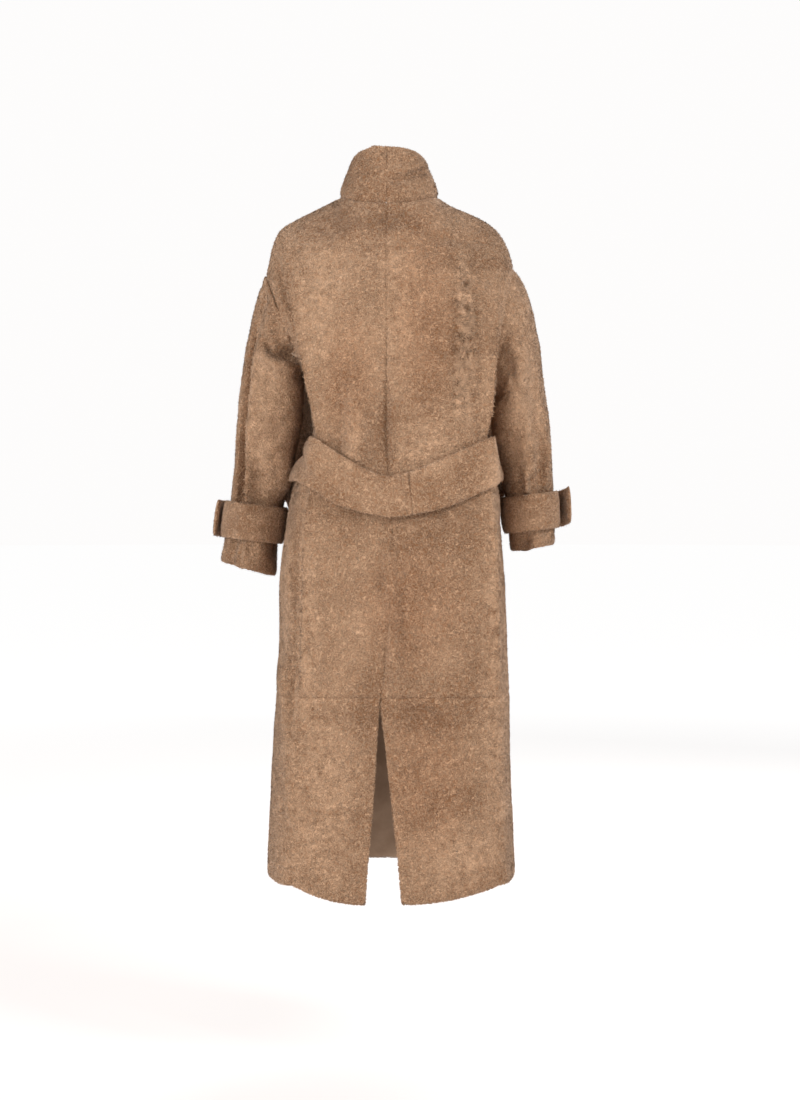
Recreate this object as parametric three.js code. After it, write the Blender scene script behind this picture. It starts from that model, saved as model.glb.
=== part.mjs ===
// A long shearling coat as it hangs on a standing wearer, empty inside, with its arms down.
// Millimetres. +Z is up, -Y is the coat's front and +X the wearer's left. The origin is the middle
// of the neck's base, level with the points where the shoulder seams meet the collar.
import * as THREE from "three";

// Driving dimensions
const WALL = 8; // skin and clipped wool together
const SEAM_GAP = 0.5; // between two pieces that are sewn edge to edge
const CHEST_Z = -340; // the level of the armholes' lowest points
const YOKE_SEAM_Z = -875; // the seam across the back skirt
const VENT_TOP_Z = -893;
const HEM_Z = { back: -1226, side: -1197, front: -1204 };
const OVERLAP = 38; // each front runs this far past the centre front
const LAP_GAP = 3; // between the two fronts where they overlap
const TUCK = 4; // how far the under front's edge sinks in
const COLLAR = { back: 103, side: 64, front: 54, leanBack: 17, leanSide: 24, curve: 1.35, bulge: 1.5, spread: 22 };
const BELT = { height: 73, thick: 12, lift: 6, foldLift: 2.4, middleZ: -534, rise: 62, seamShare: -0.13 };
// Where the belt slants it measures more straight down than across: from here on, back to here, by this much
const BELT_SLANT = { from: 0.45, until: 0.62, gone: 0.82, more: 0.21 };
// The belt's places from its middle (0) over the fold (FOLD) to the side seam (1)
const FOLD = 0.64;
const BELT_SHARES = [0.1, 0.2, 0.3, 0.4, 0.49, 0.57, 0.62, FOLD, 0.67, 0.74, 0.83, 0.95];
const BELT_END = BELT_SHARES.at(-1);
// start and overlap are in degrees round the cuff, flare is how far the strap's end stands off
const STRAP = { height: 68, thick: 9, lift: 0.9, start: -28, overlap: 42 };
const STRAP_TAB = { flare: { left: 4, right: 12 }, rise: { left: 2, right: 9 } }; // how its end stands off

// The body's outline by level. cb is the centre back seam, ridge the fold where the back turns
// forward, corner how round that turn is, dent the trough beside it, and side the side seam.
const BODY = {
  left: [
    { z: -340, cbX: 6, cbY: 150, ridgeX: 147, ridgeY: 124, corner: 0, dent: 11, side: 144, front: 146 },
    { z: -385, cbX: 6, cbY: 152, ridgeX: 136, ridgeY: 130, corner: 0, dent: 11, side: 141, front: 147 },
    { z: -435, cbX: 6, cbY: 152, ridgeX: 125, ridgeY: 133, corner: 0, dent: 9, side: 142, front: 148 },
    { z: -500, cbX: 2, cbY: 149, ridgeX: 133, ridgeY: 138, corner: 0.5, dent: 8, side: 170, front: 149 },
    { z: -570, cbX: -4, cbY: 157, ridgeX: 146, ridgeY: 144, corner: 0.9, dent: 13, side: 183, front: 152 },
    { z: -650, cbX: -3, cbY: 163, ridgeX: 151, ridgeY: 148, corner: 1, dent: 15, side: 194, front: 156 },
    { z: -779, cbX: 6, cbY: 166, ridgeX: 154, ridgeY: 150, corner: 1, dent: 16, side: 199, front: 160 },
    { z: -832, cbX: 11, cbY: 167, ridgeX: 156, ridgeY: 150, corner: 1, dent: 15, side: 195, front: 161 },
    { z: YOKE_SEAM_Z, cbX: 15, cbY: 168, ridgeX: 157, ridgeY: 151, corner: 1, dent: 12, side: 202, front: 162 },
    { z: VENT_TOP_Z, cbX: 16, cbY: 168, ridgeX: 157, ridgeY: 151, corner: 1, dent: 12, side: 203, front: 162 },
    { z: -965, cbX: 21, cbY: 169, ridgeX: 160, ridgeY: 151, corner: 1, dent: 8, side: 208, front: 163 },
    { z: -1050, cbX: 27, cbY: 170, ridgeX: 163, ridgeY: 151, corner: 1, dent: 3, side: 213, front: 164 },
    { z: -1240, cbX: 41, cbY: 171, ridgeX: 168, ridgeY: 150, corner: 1, dent: 0, side: 219, front: 166 },
  ],
  right: [
    { z: -340, cbX: 6, cbY: 150, ridgeX: 183, ridgeY: 128, corner: 0, dent: 3, side: 161, front: 146 },
    { z: -385, cbX: 6, cbY: 152, ridgeX: 179, ridgeY: 132, corner: 0, dent: 3, side: 161, front: 147 },
    { z: -435, cbX: 6, cbY: 152, ridgeX: 169, ridgeY: 133, corner: 0, dent: 2, side: 166, front: 148 },
    { z: -500, cbX: 2, cbY: 149, ridgeX: 173, ridgeY: 136, corner: 0.5, dent: 0, side: 190, front: 149 },
    { z: -570, cbX: -4, cbY: 157, ridgeX: 177, ridgeY: 142, corner: 0.9, dent: 0, side: 197, front: 152 },
    { z: -650, cbX: -3, cbY: 163, ridgeX: 178, ridgeY: 146, corner: 1, dent: 0, side: 204, front: 156 },
    { z: -779, cbX: 6, cbY: 166, ridgeX: 180, ridgeY: 149, corner: 1, dent: 0, side: 209, front: 160 },
    { z: -832, cbX: 11, cbY: 167, ridgeX: 181, ridgeY: 150, corner: 1, dent: 0, side: 211, front: 161 },
    { z: YOKE_SEAM_Z, cbX: 15, cbY: 168, ridgeX: 182, ridgeY: 150, corner: 1, dent: 0, side: 212, front: 162 },
    { z: VENT_TOP_Z, cbX: 16, cbY: 168, ridgeX: 182, ridgeY: 150, corner: 1, dent: 0, side: 213, front: 162 },
    { z: -965, cbX: 7, cbY: 169, ridgeX: 183, ridgeY: 150, corner: 1, dent: 0, side: 213, front: 163 },
    { z: -1050, cbX: -3, cbY: 170, ridgeX: 186, ridgeY: 150, corner: 1, dent: 0, side: 216, front: 164 },
    { z: -1240, cbX: -21, cbY: 171, ridgeX: 190, ridgeY: 149, corner: 1, dent: 0, side: 224, front: 166 },
  ],
};

// The shoulder seam from the neck out to the sleeve, and the fold's way up to it
const SHOULDER = {
  left: [
    { x: 89, z: -2 },
    { x: 125, z: -18 },
    { x: 160, z: -36 },
    { x: 192, z: -56 },
    { x: 208, z: -90 },
    { x: 221, z: -145 },
  ],
  right: [
    { x: 86, z: -1 },
    { x: 118, z: -20 },
    { x: 152, z: -34 },
    { x: 187, z: -58 },
    { x: 208, z: -89 },
    { x: 220, z: -128 },
  ],
};
// How the cloth leaves the seams above: x is out from the middle, y back or forward, z down
const BACK_FALL = {
  neck: { x: 0, y: 24, z: -42 },
  tip: { x: 24, y: 78, z: -28 },
  fold: { left: { x: 13, y: 60, z: -26 }, right: { x: 18, y: 60, z: -28 } },
};
const FRONT_FALL = { end: { y: -75, z: -20 }, shoulder: { y: -62, z: -12 }, neck: { y: -32, z: -46 } };
// From how far aside and above it comes into the chest's level
const CHEST_FALL = { centre: 130, front: 120, fold: { left: { x: 23, z: 138 }, right: { x: 9, z: 138 } } };
const HOLLOW = 9; // how far the cloth beside the armhole sinks in at the underarm
const NECK = { back: 76, backZ: -22, front: 86, frontZ: -72 };

// Each sleeve by station: the lines down its outer and inner side, and its middle and half depth
const SLEEVE = {
  left: [
    { outerX: 221, outerZ: -145, innerX: 150, innerZ: -328, midY: 0, half: 80 },
    { outerX: 234, outerZ: -167, innerX: 152, innerZ: -346, midY: -3, half: 80 },
    { outerX: 245, outerZ: -205, innerX: 153, innerZ: -361, midY: -7, half: 80 },
    { outerX: 255, outerZ: -252, innerX: 154, innerZ: -378, midY: -12, half: 81 },
    { outerX: 264, outerZ: -305, innerX: 156, innerZ: -398, midY: -18, half: 82 },
    { outerX: 271, outerZ: -362, innerX: 161, innerZ: -424, midY: -25, half: 82 },
    { outerX: 277, outerZ: -425, innerX: 170, innerZ: -458, midY: -33, half: 80 },
    { outerX: 281, outerZ: -485, innerX: 178, innerZ: -498, midY: -40, half: 77 },
    { outerX: 288, outerZ: -540, innerX: 190, innerZ: -545, midY: -46, half: 74 },
    { outerX: 294, outerZ: -585, innerX: 199, innerZ: -592, midY: -50, half: 72 },
    { outerX: 300, outerZ: -620, innerX: 202, innerZ: -636, midY: -53, half: 72 },
    { outerX: 306, outerZ: -650, innerX: 203, innerZ: -676, midY: -55, half: 73 },
  ],
  right: [
    { outerX: 220, outerZ: -128, innerX: 174, innerZ: -344, midY: 0, half: 84 },
    { outerX: 235, outerZ: -151, innerX: 176, innerZ: -356, midY: -3, half: 84 },
    { outerX: 251, outerZ: -190, innerX: 178, innerZ: -368, midY: -7, half: 84 },
    { outerX: 263, outerZ: -241, innerX: 179, innerZ: -382, midY: -12, half: 84 },
    { outerX: 273, outerZ: -298, innerX: 181, innerZ: -400, midY: -19, half: 83 },
    { outerX: 282, outerZ: -360, innerX: 184, innerZ: -424, midY: -28, half: 82 },
    { outerX: 288, outerZ: -420, innerX: 189, innerZ: -456, midY: -37, half: 80 },
    { outerX: 292, outerZ: -470, innerX: 197, innerZ: -490, midY: -44, half: 77 },
    { outerX: 294, outerZ: -512, innerX: 204, innerZ: -525, midY: -50, half: 74 },
    { outerX: 296, outerZ: -553, innerX: 209, innerZ: -562, midY: -54, half: 72 },
    { outerX: 298, outerZ: -590, innerX: 213, innerZ: -598, midY: -57, half: 72 },
    { outerX: 298, outerZ: -620, innerX: 215, innerZ: -632, midY: -59, half: 73 },
  ],
};
// Folds in the sleeves. at is degrees round from the outer side to the back, and from and to are
// shares of the sleeve's length. height is out from the cloth, and below it where negative.
const SLEEVE_FOLDS = {
  left: [
    { at: 57, atCuff: 70, wide: 15, from: 0.02, to: 1.1, height: 5 },
    { at: 36, atCuff: 46, wide: 17, from: 0.02, to: 1.1, height: -17 },
    { at: 112, atCuff: 112, wide: 46, from: -0.2, to: 0.1, height: -10, slant: 0.0025 },
    { at: 116, atCuff: 116, wide: 44, from: 0.115, to: 0.4, height: 11, slant: 0.0025, tail: 0.16 },
    { at: 292, atCuff: 285, wide: 22, from: 0.2, to: 0.75, height: -7 },
  ],
  right: [
    { at: 40, atCuff: 34, wide: 14, from: 0.35, to: 0.95, height: 3 },
    { at: 66, atCuff: 58, wide: 16, from: 0.3, to: 0.95, height: -6 },
    { at: 132, atCuff: 132, wide: 34, from: -0.2, to: 0.24, height: -10 },
    { at: 140, atCuff: 140, wide: 40, from: 0.26, to: 0.5, height: 4 },
    { at: 292, atCuff: 285, wide: 22, from: 0.2, to: 0.75, height: -7 },
  ],
};
// Each strap's upper and lower edge, as shares of the sleeve's length, on both sides of the arm
const STRAP_AT = {
  left: { outer: [0.724, 0.875], inner: [0.735, 0.881] },
  right: { outer: [0.752, 0.905], inner: [0.762, 0.905] },
};
// Soft folds down the fronts: share of the way from the side seam to the centre front
const FRONT_FOLDS = [
  { at: 0.2, wide: 0.12, height: 6 },
  { at: 0.42, wide: 0.12, height: -7 },
  { at: 0.62, wide: 0.12, height: 5 },
];
// The arm presses the coat's side in, and the front stands out in one full fold before it: share of
// the way to the centre front, half width, how far it stands out, the same forwards, and its levels
const ARM_FOLD = { at: 0.46, wide: 0.2, out: 58, ahead: 14, top: { left: -285, right: -315 } };
const ARM_FOLD_GROWS = 70; // within this much height under its top
const ARM_FOLD_HIP = { z: -612, above: 100, left: 0.35 }; // it shrinks to this share down to the hip
const ARM_FOLD_END = { z: -800, above: 160 }; // and then to nothing

// How finely each piece is divided
const NECK_STEPS = 4; // along half the back neck, and again along half the front neck
const SEAM_STEPS = 8; // along a shoulder seam
const RIDGE_STEP = 4; // the step of the shoulder seam that the fold runs up to
const BACK_COLUMNS = NECK_STEPS + SEAM_STEPS;
const RIDGE_COLUMN = NECK_STEPS + RIDGE_STEP;
const FRONT_COLUMNS = SEAM_STEPS + NECK_STEPS + 1;
const CF_COLUMN = FRONT_COLUMNS - 1;
const ARM_ROWS = 12;
const SKIRT_LEVELS = [-390, -432, -475, -520, -575, -640, -715, -795, YOKE_SEAM_Z];
const SKIRT_ROWS = SKIRT_LEVELS.length;
const HEM_ROWS = 6; // the first ends at the top of the vent
const SLEEVE_ROWS = 18;
// Degrees down the back of the armhole, closer together where the sleeve's long fold starts
const BACK_ANGLES = [0, 14, 27, 39, 51, 63, 76, 90, 106, 123, 141, 160, 180];
const SHOULDER_SHARES = [0, 0.14, 0.28, 0.42, 0.55, 0.66, 0.77, 0.89, 1];
const RIDGE_SHARES = [0, 0.14, 0.29, 0.45, 0.6, 0.74, 0.86, 0.95, 1];
const TURN_SHARES = [0, 0.16, 0.4, 0.7, 1];
const OUT = { left: 1, right: -1 }; // which way each side lies along X

const mix = (a, b, t) => a + (b - a) * t;
const clamp = (t, low = 0, high = 1) => Math.min(high, Math.max(low, t));
const smooth = (t) => clamp(t) ** 2 * (3 - 2 * clamp(t));
const radians = (degrees) => (degrees * Math.PI) / 180;
const bump = (distance, wide) => Math.exp(-((distance / wide) ** 2));
const point = (x, y, z) => new THREE.Vector3(x, y, z);
const moved = (p, along, by) => p.clone().addScaledVector(along, by);

// A table's row at a place between its rows, each column on one smooth curve. place runs from 0
// at the first row to rows - 1 at the last.
function rowAt(table, place) {
  const i = Math.floor(clamp(place, 0, table.length - 1.001));
  const t = clamp(place - i);
  const [a, b, c, d] = [-1, 0, 1, 2].map((k) => table[clamp(i + k, 0, table.length - 1)]);
  const found = {};
  for (const key of Object.keys(b)) {
    const slopeB = (c[key] - a[key]) / 2;
    const slopeC = (d[key] - b[key]) / 2;
    const rest = c[key] - b[key];
    found[key] =
      b[key] + slopeB * t + (3 * rest - 2 * slopeB - slopeC) * t ** 2 + (slopeB + slopeC - 2 * rest) * t ** 3;
  }
  return found;
}

function bodyAt(side, z) {
  const table = BODY[side];
  const below = table.findIndex((row) => row.z < z);
  if (below === 0) return table[0];
  const i = below < 0 ? table.length - 1 : below;
  return rowAt(table, i - 1 + (table[i - 1].z - z) / (table[i - 1].z - table[i].z));
}

// The back half of the body at a level: along 0 is the centre back, 1 the fold, 2 the side seam
function backPoint(side, along, z, dented = true) {
  const row = bodyAt(side, z);
  const sign = OUT[side];
  if (along <= 1) {
    return point(mix(row.cbX, sign * row.ridgeX, along), mix(row.cbY, row.ridgeY, along ** 2.4), z);
  }
  const t = along - 1;
  const turn = (t * Math.PI) / 2;
  const dent = dented ? row.dent * bump(t - 0.19, 0.16) : 0;
  const x = mix(row.ridgeX, row.side, mix(t, Math.sin(turn), row.corner)) - dent * 0.6;
  const y = row.ridgeY * mix(1 - t, Math.cos(turn), row.corner) - dent * 0.8;
  return point(sign * x, y, z);
}

// The front half: share 0 is the side seam and 1 the centre front, and the overlap is past 1
function frontPoint(side, share, z) {
  const row = bodyAt(side, z);
  const sign = OUT[side];
  const turn = (clamp(share) * Math.PI) / 2;
  const fade = smooth((-540 - z) / 260) * smooth(share / 0.12);
  let fold = 0;
  for (const f of FRONT_FOLDS) fold += f.height * fade * bump(share - f.at, f.wide);
  const arm = armFold(side, share, z);
  const x = (row.side + fold) * Math.cos(turn) ** 0.8 - OVERLAP * clamp((share - 1) / 0.1);
  const y = -(row.front + fold) * Math.sin(turn) ** 0.8 - lapLift(side, share) + tuck(side, share);
  return point(sign * (x + ARM_FOLD.out * arm), y - ARM_FOLD.ahead * arm, z);
}

// How full the fold before the arm is, 0 to 1
function armFold(side, share, z) {
  const grows = smooth((ARM_FOLD.top[side] - z) / ARM_FOLD_GROWS);
  const hip = mix(ARM_FOLD_HIP.left, 1, smooth((z - ARM_FOLD_HIP.z) / ARM_FOLD_HIP.above));
  const end = smooth((z - ARM_FOLD_END.z) / ARM_FOLD_END.above);
  return smooth(share / ARM_FOLD.at) * grows * hip * end * bump(share - ARM_FOLD.at, ARM_FOLD.wide);
}

// The right front lies on the left one, so it stands out by a wall where they overlap
function lapLift(side, share) {
  return side === "right" ? (WALL + LAP_GAP) * smooth((share - 0.66) / 0.2) : 0;
}

// The left front's edge, under the right one, sinks in a little
function tuck(side, share) {
  return side === "left" ? TUCK * clamp((share - 1) / 0.1) : 0;
}

function shoulderLine(side) {
  return new THREE.CatmullRomCurve3(SHOULDER[side].map((p) => point(OUT[side] * p.x, 0, p.z)));
}

// Half the neck: share 0 is the centre back, 1 the shoulder seam, 2 the centre front
function neckPoint(side, share) {
  const tip = SHOULDER[side][0];
  const turn = (share * Math.PI) / 2;
  const back = share <= 1;
  const drop = back ? NECK.backZ : NECK.frontZ;
  const across = OUT[side] * tip.x * Math.sin(turn) ** 0.9;
  const off = BODY[side][0].cbX * clamp(1 - share);
  const y = (back ? NECK.back : NECK.front) * Math.cos(turn);
  return point(across + off, y - lapLift(side, share - 1), mix(tip.z, drop, Math.abs(Math.cos(turn)) ** 1.6));
}

// A point of the sleeve: along is its length from 0 to 1, degrees run from the outer side (0)
// over the back (90), the inner side (180) and the front (270)
function sleevePoint(side, along, degrees, folded = true) {
  const row = rowAt(SLEEVE[side], along * (SLEEVE[side].length - 1));
  const turn = radians(degrees);
  const outer = point(OUT[side] * row.outerX, row.midY, row.outerZ);
  const inner = point(OUT[side] * row.innerX, row.midY, row.innerZ);
  const middle = outer.clone().add(inner).divideScalar(2);
  const across = outer.clone().sub(inner).divideScalar(2);
  const p = moved(middle, across, Math.cos(turn)).add(point(0, row.half * Math.sin(turn), 0));
  if (!folded) return p;
  let height = 0;
  for (const f of SLEEVE_FOLDS[side]) {
    const at = mix(f.at, f.atCuff, along);
    const here = along + (f.slant ?? 0) * (degrees - f.at);
    const fade = smooth((here - f.from) / 0.06 + 0.5) * smooth((f.to - here) / (f.tail ?? 0.05) + 0.5);
    height += f.height * fade * bump(degrees - at, f.wide);
  }
  const start = smooth(along / 0.06);
  return moved(p, p.clone().sub(middle).normalize(), height * start);
}

const armholePoint = (side, degrees) => sleevePoint(side, 0, degrees, false);

// A curve down from top, first along out, that comes into low from straight above or aside
function fall(top, out, up, low) {
  const curve = new THREE.CubicBezierCurve3(top, top.clone().add(out), low.clone().add(up), low);
  return (z) => {
    let [high, deep] = [0, 1];
    for (let k = 0; k < 24; k++) {
      const t = (high + deep) / 2;
      if (curve.getPoint(t).z > z) high = t;
      else deep = t;
    }
    return curve.getPoint((high + deep) / 2);
  };
}

// The level of a column's point beside the armhole's point at these degrees, where the column
// runs from the level top to the level low. even is 0 beside the armhole and 1 far from it.
function levelBeside(side, degrees, top, low, even) {
  const hole = {};
  for (const [key, turn] of [["top", 0], ["low", 180], ["z", degrees]]) hole[key] = armholePoint(side, turn).z;
  const down = (hole.top - hole.z) / (hole.top - hole.low);
  const beside = hole.z + (top - hole.top) * (1 - down) ** 1.6 + (low - hole.low) * down ** 1.6;
  return mix(beside, mix(top, low, degrees / 180), even);
}

// Levels of a column from the chest to the hem. lean is how far it is from the centre back (0)
// or the centre front (0) to the side seam (1).
function levels(side, lean, endHem) {
  const underarm = SLEEVE[side][0].innerZ - CHEST_Z;
  const found = [];
  SKIRT_LEVELS.forEach((z, i) => found.push(z + underarm * lean ** 2 * clamp(1 - (i + 1) / 3)));
  for (let i = 1; i <= HEM_ROWS; i++) {
    const hem = mix(endHem, HEM_Z.side, clamp(2 * lean) ** 2);
    found.push(mix(VENT_TOP_Z, hem, (i - 1) / (HEM_ROWS - 1)));
  }
  return found;
}

// Columns of a back from its centre seam to the armhole and side seam, from neck to hem
function backColumns(side) {
  const seam = shoulderLine(side);
  const sign = OUT[side];
  const underarm = SLEEVE[side][0].innerZ;
  const upper = (column, along) => {
    const low = backPoint(side, along, CHEST_Z);
    low.z = mix(CHEST_Z, underarm, clamp(along / 2) ** 2);
    const t = clamp((column - NECK_STEPS) / RIDGE_STEP);
    const n = clamp(column / NECK_STEPS);
    const share = SHOULDER_SHARES[column - NECK_STEPS];
    const top = column < NECK_STEPS ? neckPoint(side, n) : seam.getPointAt(share);
    const { neck, tip, fold } = BACK_FALL;
    const out = {};
    for (const key of ["x", "y", "z"]) out[key] = mix(mix(neck[key], tip[key], n ** 2), fold[side][key], t);
    const end = CHEST_FALL.fold[side];
    const up = point(sign * end.x * t, 0, mix(CHEST_FALL.centre, end.z, t));
    return { top, low, at: fall(top, point(sign * out.x, out.y, out.z), up, low) };
  };
  const columns = [];
  for (let column = 0; column <= BACK_COLUMNS; column++) {
    const past = Math.max(column - RIDGE_COLUMN, 0);
    const near = Math.min(column, RIDGE_COLUMN);
    const curve = upper(near, RIDGE_SHARES[near]);
    const even = 1 - (near / RIDGE_COLUMN) ** 2;
    const share = TURN_SHARES[past];
    const made = [];
    for (const degrees of BACK_ANGLES) {
      const p = curve.at(levelBeside(side, degrees, curve.top.z, curve.low.z, even));
      if (past > 0) {
        const hole = armholePoint(side, degrees);
        const top = seam.getPointAt(SHOULDER_SHARES[column - NECK_STEPS]);
        const straight = curve.top.clone().lerp(armholePoint(side, 0), share);
        const down = (curve.top.z - p.z) / (curve.top.z - curve.low.z);
        p.lerp(hole, share).add(top.sub(straight).multiplyScalar((1 - down) ** 2));
        const dent = bodyAt(side, CHEST_Z).dent * bump(share - 0.19, 0.16) * smooth(down / 0.45);
        const hollow = HOLLOW * Math.sin(Math.PI * share) * down ** 2;
        p.add(point(-sign * (dent * 0.6 + hollow), -dent * 0.8, 0));
      }
      made.push(p);
    }
    const along = past > 0 ? 1 + share : RIDGE_SHARES[near];
    for (const z of levels(side, clamp(along / 2), HEM_Z.back)) made.push(backPoint(side, along, z));
    columns.push(made);
  }
  return columns;
}

// Columns of a front from the armhole and side seam to its front edge, from shoulder to hem
function frontColumns(side) {
  const seam = shoulderLine(side);
  const sign = OUT[side];
  const underarm = SLEEVE[side][0].innerZ;
  const up = point(0, 0, CHEST_FALL.front);
  const { end, shoulder, neck } = FRONT_FALL;
  const chest = (share) => {
    const low = frontPoint(side, share, CHEST_Z);
    low.z = mix(underarm, CHEST_Z, clamp(share) ** 2);
    return low;
  };
  const tip = fall(seam.getPointAt(1), point(0, end.y, end.z), up, chest(0));
  const columns = [];
  for (let column = 0; column <= FRONT_COLUMNS; column++) {
    const share = column > CF_COLUMN ? 1.1 : column / CF_COLUMN;
    const t = clamp((column - SEAM_STEPS) / NECK_STEPS);
    const over = side === "right" && share > 1 ? LAP_GAP + TUCK : 0;
    let top = neckPoint(side, 1 + t);
    if (column <= SEAM_STEPS) top = seam.getPointAt(SHOULDER_SHARES[SEAM_STEPS - column]);
    else if (share > 1) top.add(point(-sign * OVERLAP, tuck(side, share) - over, -4));
    const out = point(0, mix(shoulder.y, neck.y, t) - over, mix(shoulder.z, neck.z, t));
    const low = chest(share);
    const curve = fall(top, out, up, low);
    const near = clamp(1 - column / 6);
    const even = clamp(column / 8);
    const made = [];
    for (let i = 0; i <= ARM_ROWS; i++) {
      const degrees = 360 - (180 * i) / ARM_ROWS;
      const hole = armholePoint(side, degrees);
      const p = curve(levelBeside(side, 360 - degrees, top.z, low.z, even));
      made.push(p.add(hole.sub(tip(hole.z)).multiplyScalar(near)));
    }
    for (const z of levels(side, clamp(1 - share), HEM_Z.front)) made.push(frontPoint(side, share, z));
    columns.push(made);
  }
  return columns;
}

function sleeveColumns(side) {
  const front = Array.from({ length: ARM_ROWS - 1 }, (_, i) => 180 + (180 * (i + 1)) / ARM_ROWS);
  return [...BACK_ANGLES, ...front].map((degrees) =>
    Array.from({ length: SLEEVE_ROWS + 1 }, (_, i) => sleevePoint(side, (i / SLEEVE_ROWS) ** 1.12, degrees)),
  );
}

// Half the collar from the centre back to the centre front, from its top edge down to the neck
function collarColumns(side) {
  const rows = 6;
  const columns = [];
  for (let column = 0; column <= 2 * NECK_STEPS; column++) {
    const share = column / NECK_STEPS;
    const base = neckPoint(side, share);
    const turn = (share * Math.PI) / 2;
    const toMiddle = Math.abs(Math.cos(turn));
    const rise = mix(COLLAR.side, share <= 1 ? COLLAR.back : COLLAR.front, toMiddle ** 1.3);
    const inward = point(-base.x, -base.y * 0.9, 0).normalize();
    const lean = mix(COLLAR.leanSide, COLLAR.leanBack, toMiddle);
    const spread = share > 1.5 ? OUT[side] * COLLAR.spread * (2 * share - 3) : 0;
    columns.push(
      Array.from({ length: rows + 1 }, (_, i) => {
        const up = 1 - i / rows;
        const bulge = COLLAR.bulge * Math.sin(Math.PI * up ** 0.8);
        const p = moved(base, inward, lean * up ** COLLAR.curve - bulge);
        return p.add(point(spread * up, 0, rise * up));
      }),
    );
  }
  return columns;
}

// A sheet of points, first index across and second down, with its outward normals
function sheet(columns, middle, closed = false) {
  const wide = columns.length;
  const long = columns[0].length;
  const normals = columns.map((column, i) =>
    column.map((p, j) => {
      const before = columns[closed ? (i + wide - 1) % wide : Math.max(i - 1, 0)][j];
      const after = columns[closed ? (i + 1) % wide : Math.min(i + 1, wide - 1)][j];
      const down = column[Math.min(j + 1, long - 1)].clone().sub(column[Math.max(j - 1, 0)]);
      return after.clone().sub(before).cross(down).normalize();
    }),
  );
  const i = Math.floor(wide / 2);
  const j = Math.floor(long / 2);
  const turned = normals[i][j].dot(columns[i][j].clone().sub(middle)) < 0 ? -1 : 1;
  for (const column of normals) for (const n of column) n.multiplyScalar(turned);
  return { columns, normals, closed, turned };
}

// Gives all points that lie at one place a common normal, so that walls meet face to face at seams
function weldNormals(all) {
  const places = new Map();
  for (const s of all) {
    s.columns.forEach((column, i) =>
      column.forEach((p, j) => {
        const key = p.toArray().map((c) => Math.round(c * 20)).join();
        if (!places.has(key)) places.set(key, []);
        places.get(key).push(s.normals[i][j]);
      }),
    );
  }
  for (const normals of places.values()) {
    const sum = normals.reduce((total, n) => total.add(n), point(0, 0, 0)).normalize();
    for (const n of normals) n.copy(sum);
  }
}

// Part of a sheet, with its own copy of the points
function cut(s, firstRow, lastRow) {
  return {
    columns: s.columns.map((c) => c.slice(firstRow, lastRow + 1).map((p) => p.clone())),
    normals: s.normals.map((c) => c.slice(firstRow, lastRow + 1).map((p) => p.clone())),
    closed: s.closed,
    turned: s.turned,
  };
}

// Draws a sheet's edges back by half a seam's gap, square to each edge and along the sheet
function trim(s) {
  const half = SEAM_GAP / 2;
  const wide = s.columns.length;
  const long = s.columns[0].length;
  const across = Array.from({ length: wide }, (_, i) => i);
  const down = Array.from({ length: long }, (_, j) => j);
  const top = across.map((i) => [i, 0]).reverse();
  const bottom = across.map((i) => [i, long - 1]);
  const first = down.map((j) => [0, j]);
  const last = down.map((j) => [wide - 1, j]).reverse();
  const round = [...first, ...bottom.slice(1), ...last.slice(1), ...top.slice(1, -1)];
  const loops = s.closed ? [bottom, top] : [round];
  for (const loop of loops) {
    const points = loop.map(([i, j]) => s.columns[i][j].clone());
    loop.forEach(([i, j], k) => {
      const before = points[(k + points.length - 1) % points.length];
      const after = points[(k + 1) % points.length];
      const n = s.normals[i][j];
      const a = points[k].clone().sub(before).cross(n).multiplyScalar(s.turned).normalize();
      const b = after.clone().sub(points[k]).cross(n).multiplyScalar(s.turned).normalize();
      s.columns[i][j].addScaledVector(a.clone().add(b), half / (1 + Math.max(a.dot(b), -0.2)));
    });
  }
  return s;
}

// The closed wall between two sheets of points of the same size, outer and inner
function wallBetween(outer, inner, closed) {
  const wide = outer.length;
  const long = outer[0].length;
  const places = [];
  for (const sheetPoints of [outer, inner]) {
    for (const column of sheetPoints) for (const p of column) places.push(p.x, p.y, p.z);
  }
  const at = (layer, i, j) => (layer * wide + (i % wide)) * long + j;
  const faces = [];
  const quad = (a, b, c, d) => faces.push(a, b, c, a, c, d);
  // A rim's quad between outer points a and b and the inner ones c and d. Both pieces at a seam
  // split it from the same corner, the higher one.
  const height = (k) => places[3 * k + 2] + 0.31 * places[3 * k + 1] + 0.17 * places[3 * k];
  const rim = (a, b, c, d) => (height(a) > height(b) ? quad(a, b, c, d) : quad(b, c, d, a));
  const spans = closed ? wide : wide - 1;
  for (let i = 0; i < spans; i++) {
    for (let j = 0; j < long - 1; j++) {
      quad(at(0, i, j), at(0, i, j + 1), at(0, i + 1, j + 1), at(0, i + 1, j));
      quad(at(1, i, j), at(1, i + 1, j), at(1, i + 1, j + 1), at(1, i, j + 1));
    }
    rim(at(0, i, 0), at(0, i + 1, 0), at(1, i + 1, 0), at(1, i, 0));
    rim(at(0, i + 1, long - 1), at(0, i, long - 1), at(1, i, long - 1), at(1, i + 1, long - 1));
  }
  for (let j = 0; !closed && j < long - 1; j++) {
    rim(at(0, 0, j + 1), at(0, 0, j), at(1, 0, j), at(1, 0, j + 1));
    const i = wide - 1;
    rim(at(0, i, j), at(0, i, j + 1), at(1, i, j + 1), at(1, i, j));
  }
  const geometry = new THREE.BufferGeometry();
  geometry.setAttribute("position", new THREE.Float32BufferAttribute(places, 3));
  geometry.setIndex(faces);
  return facingOut(geometry);
}

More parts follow.
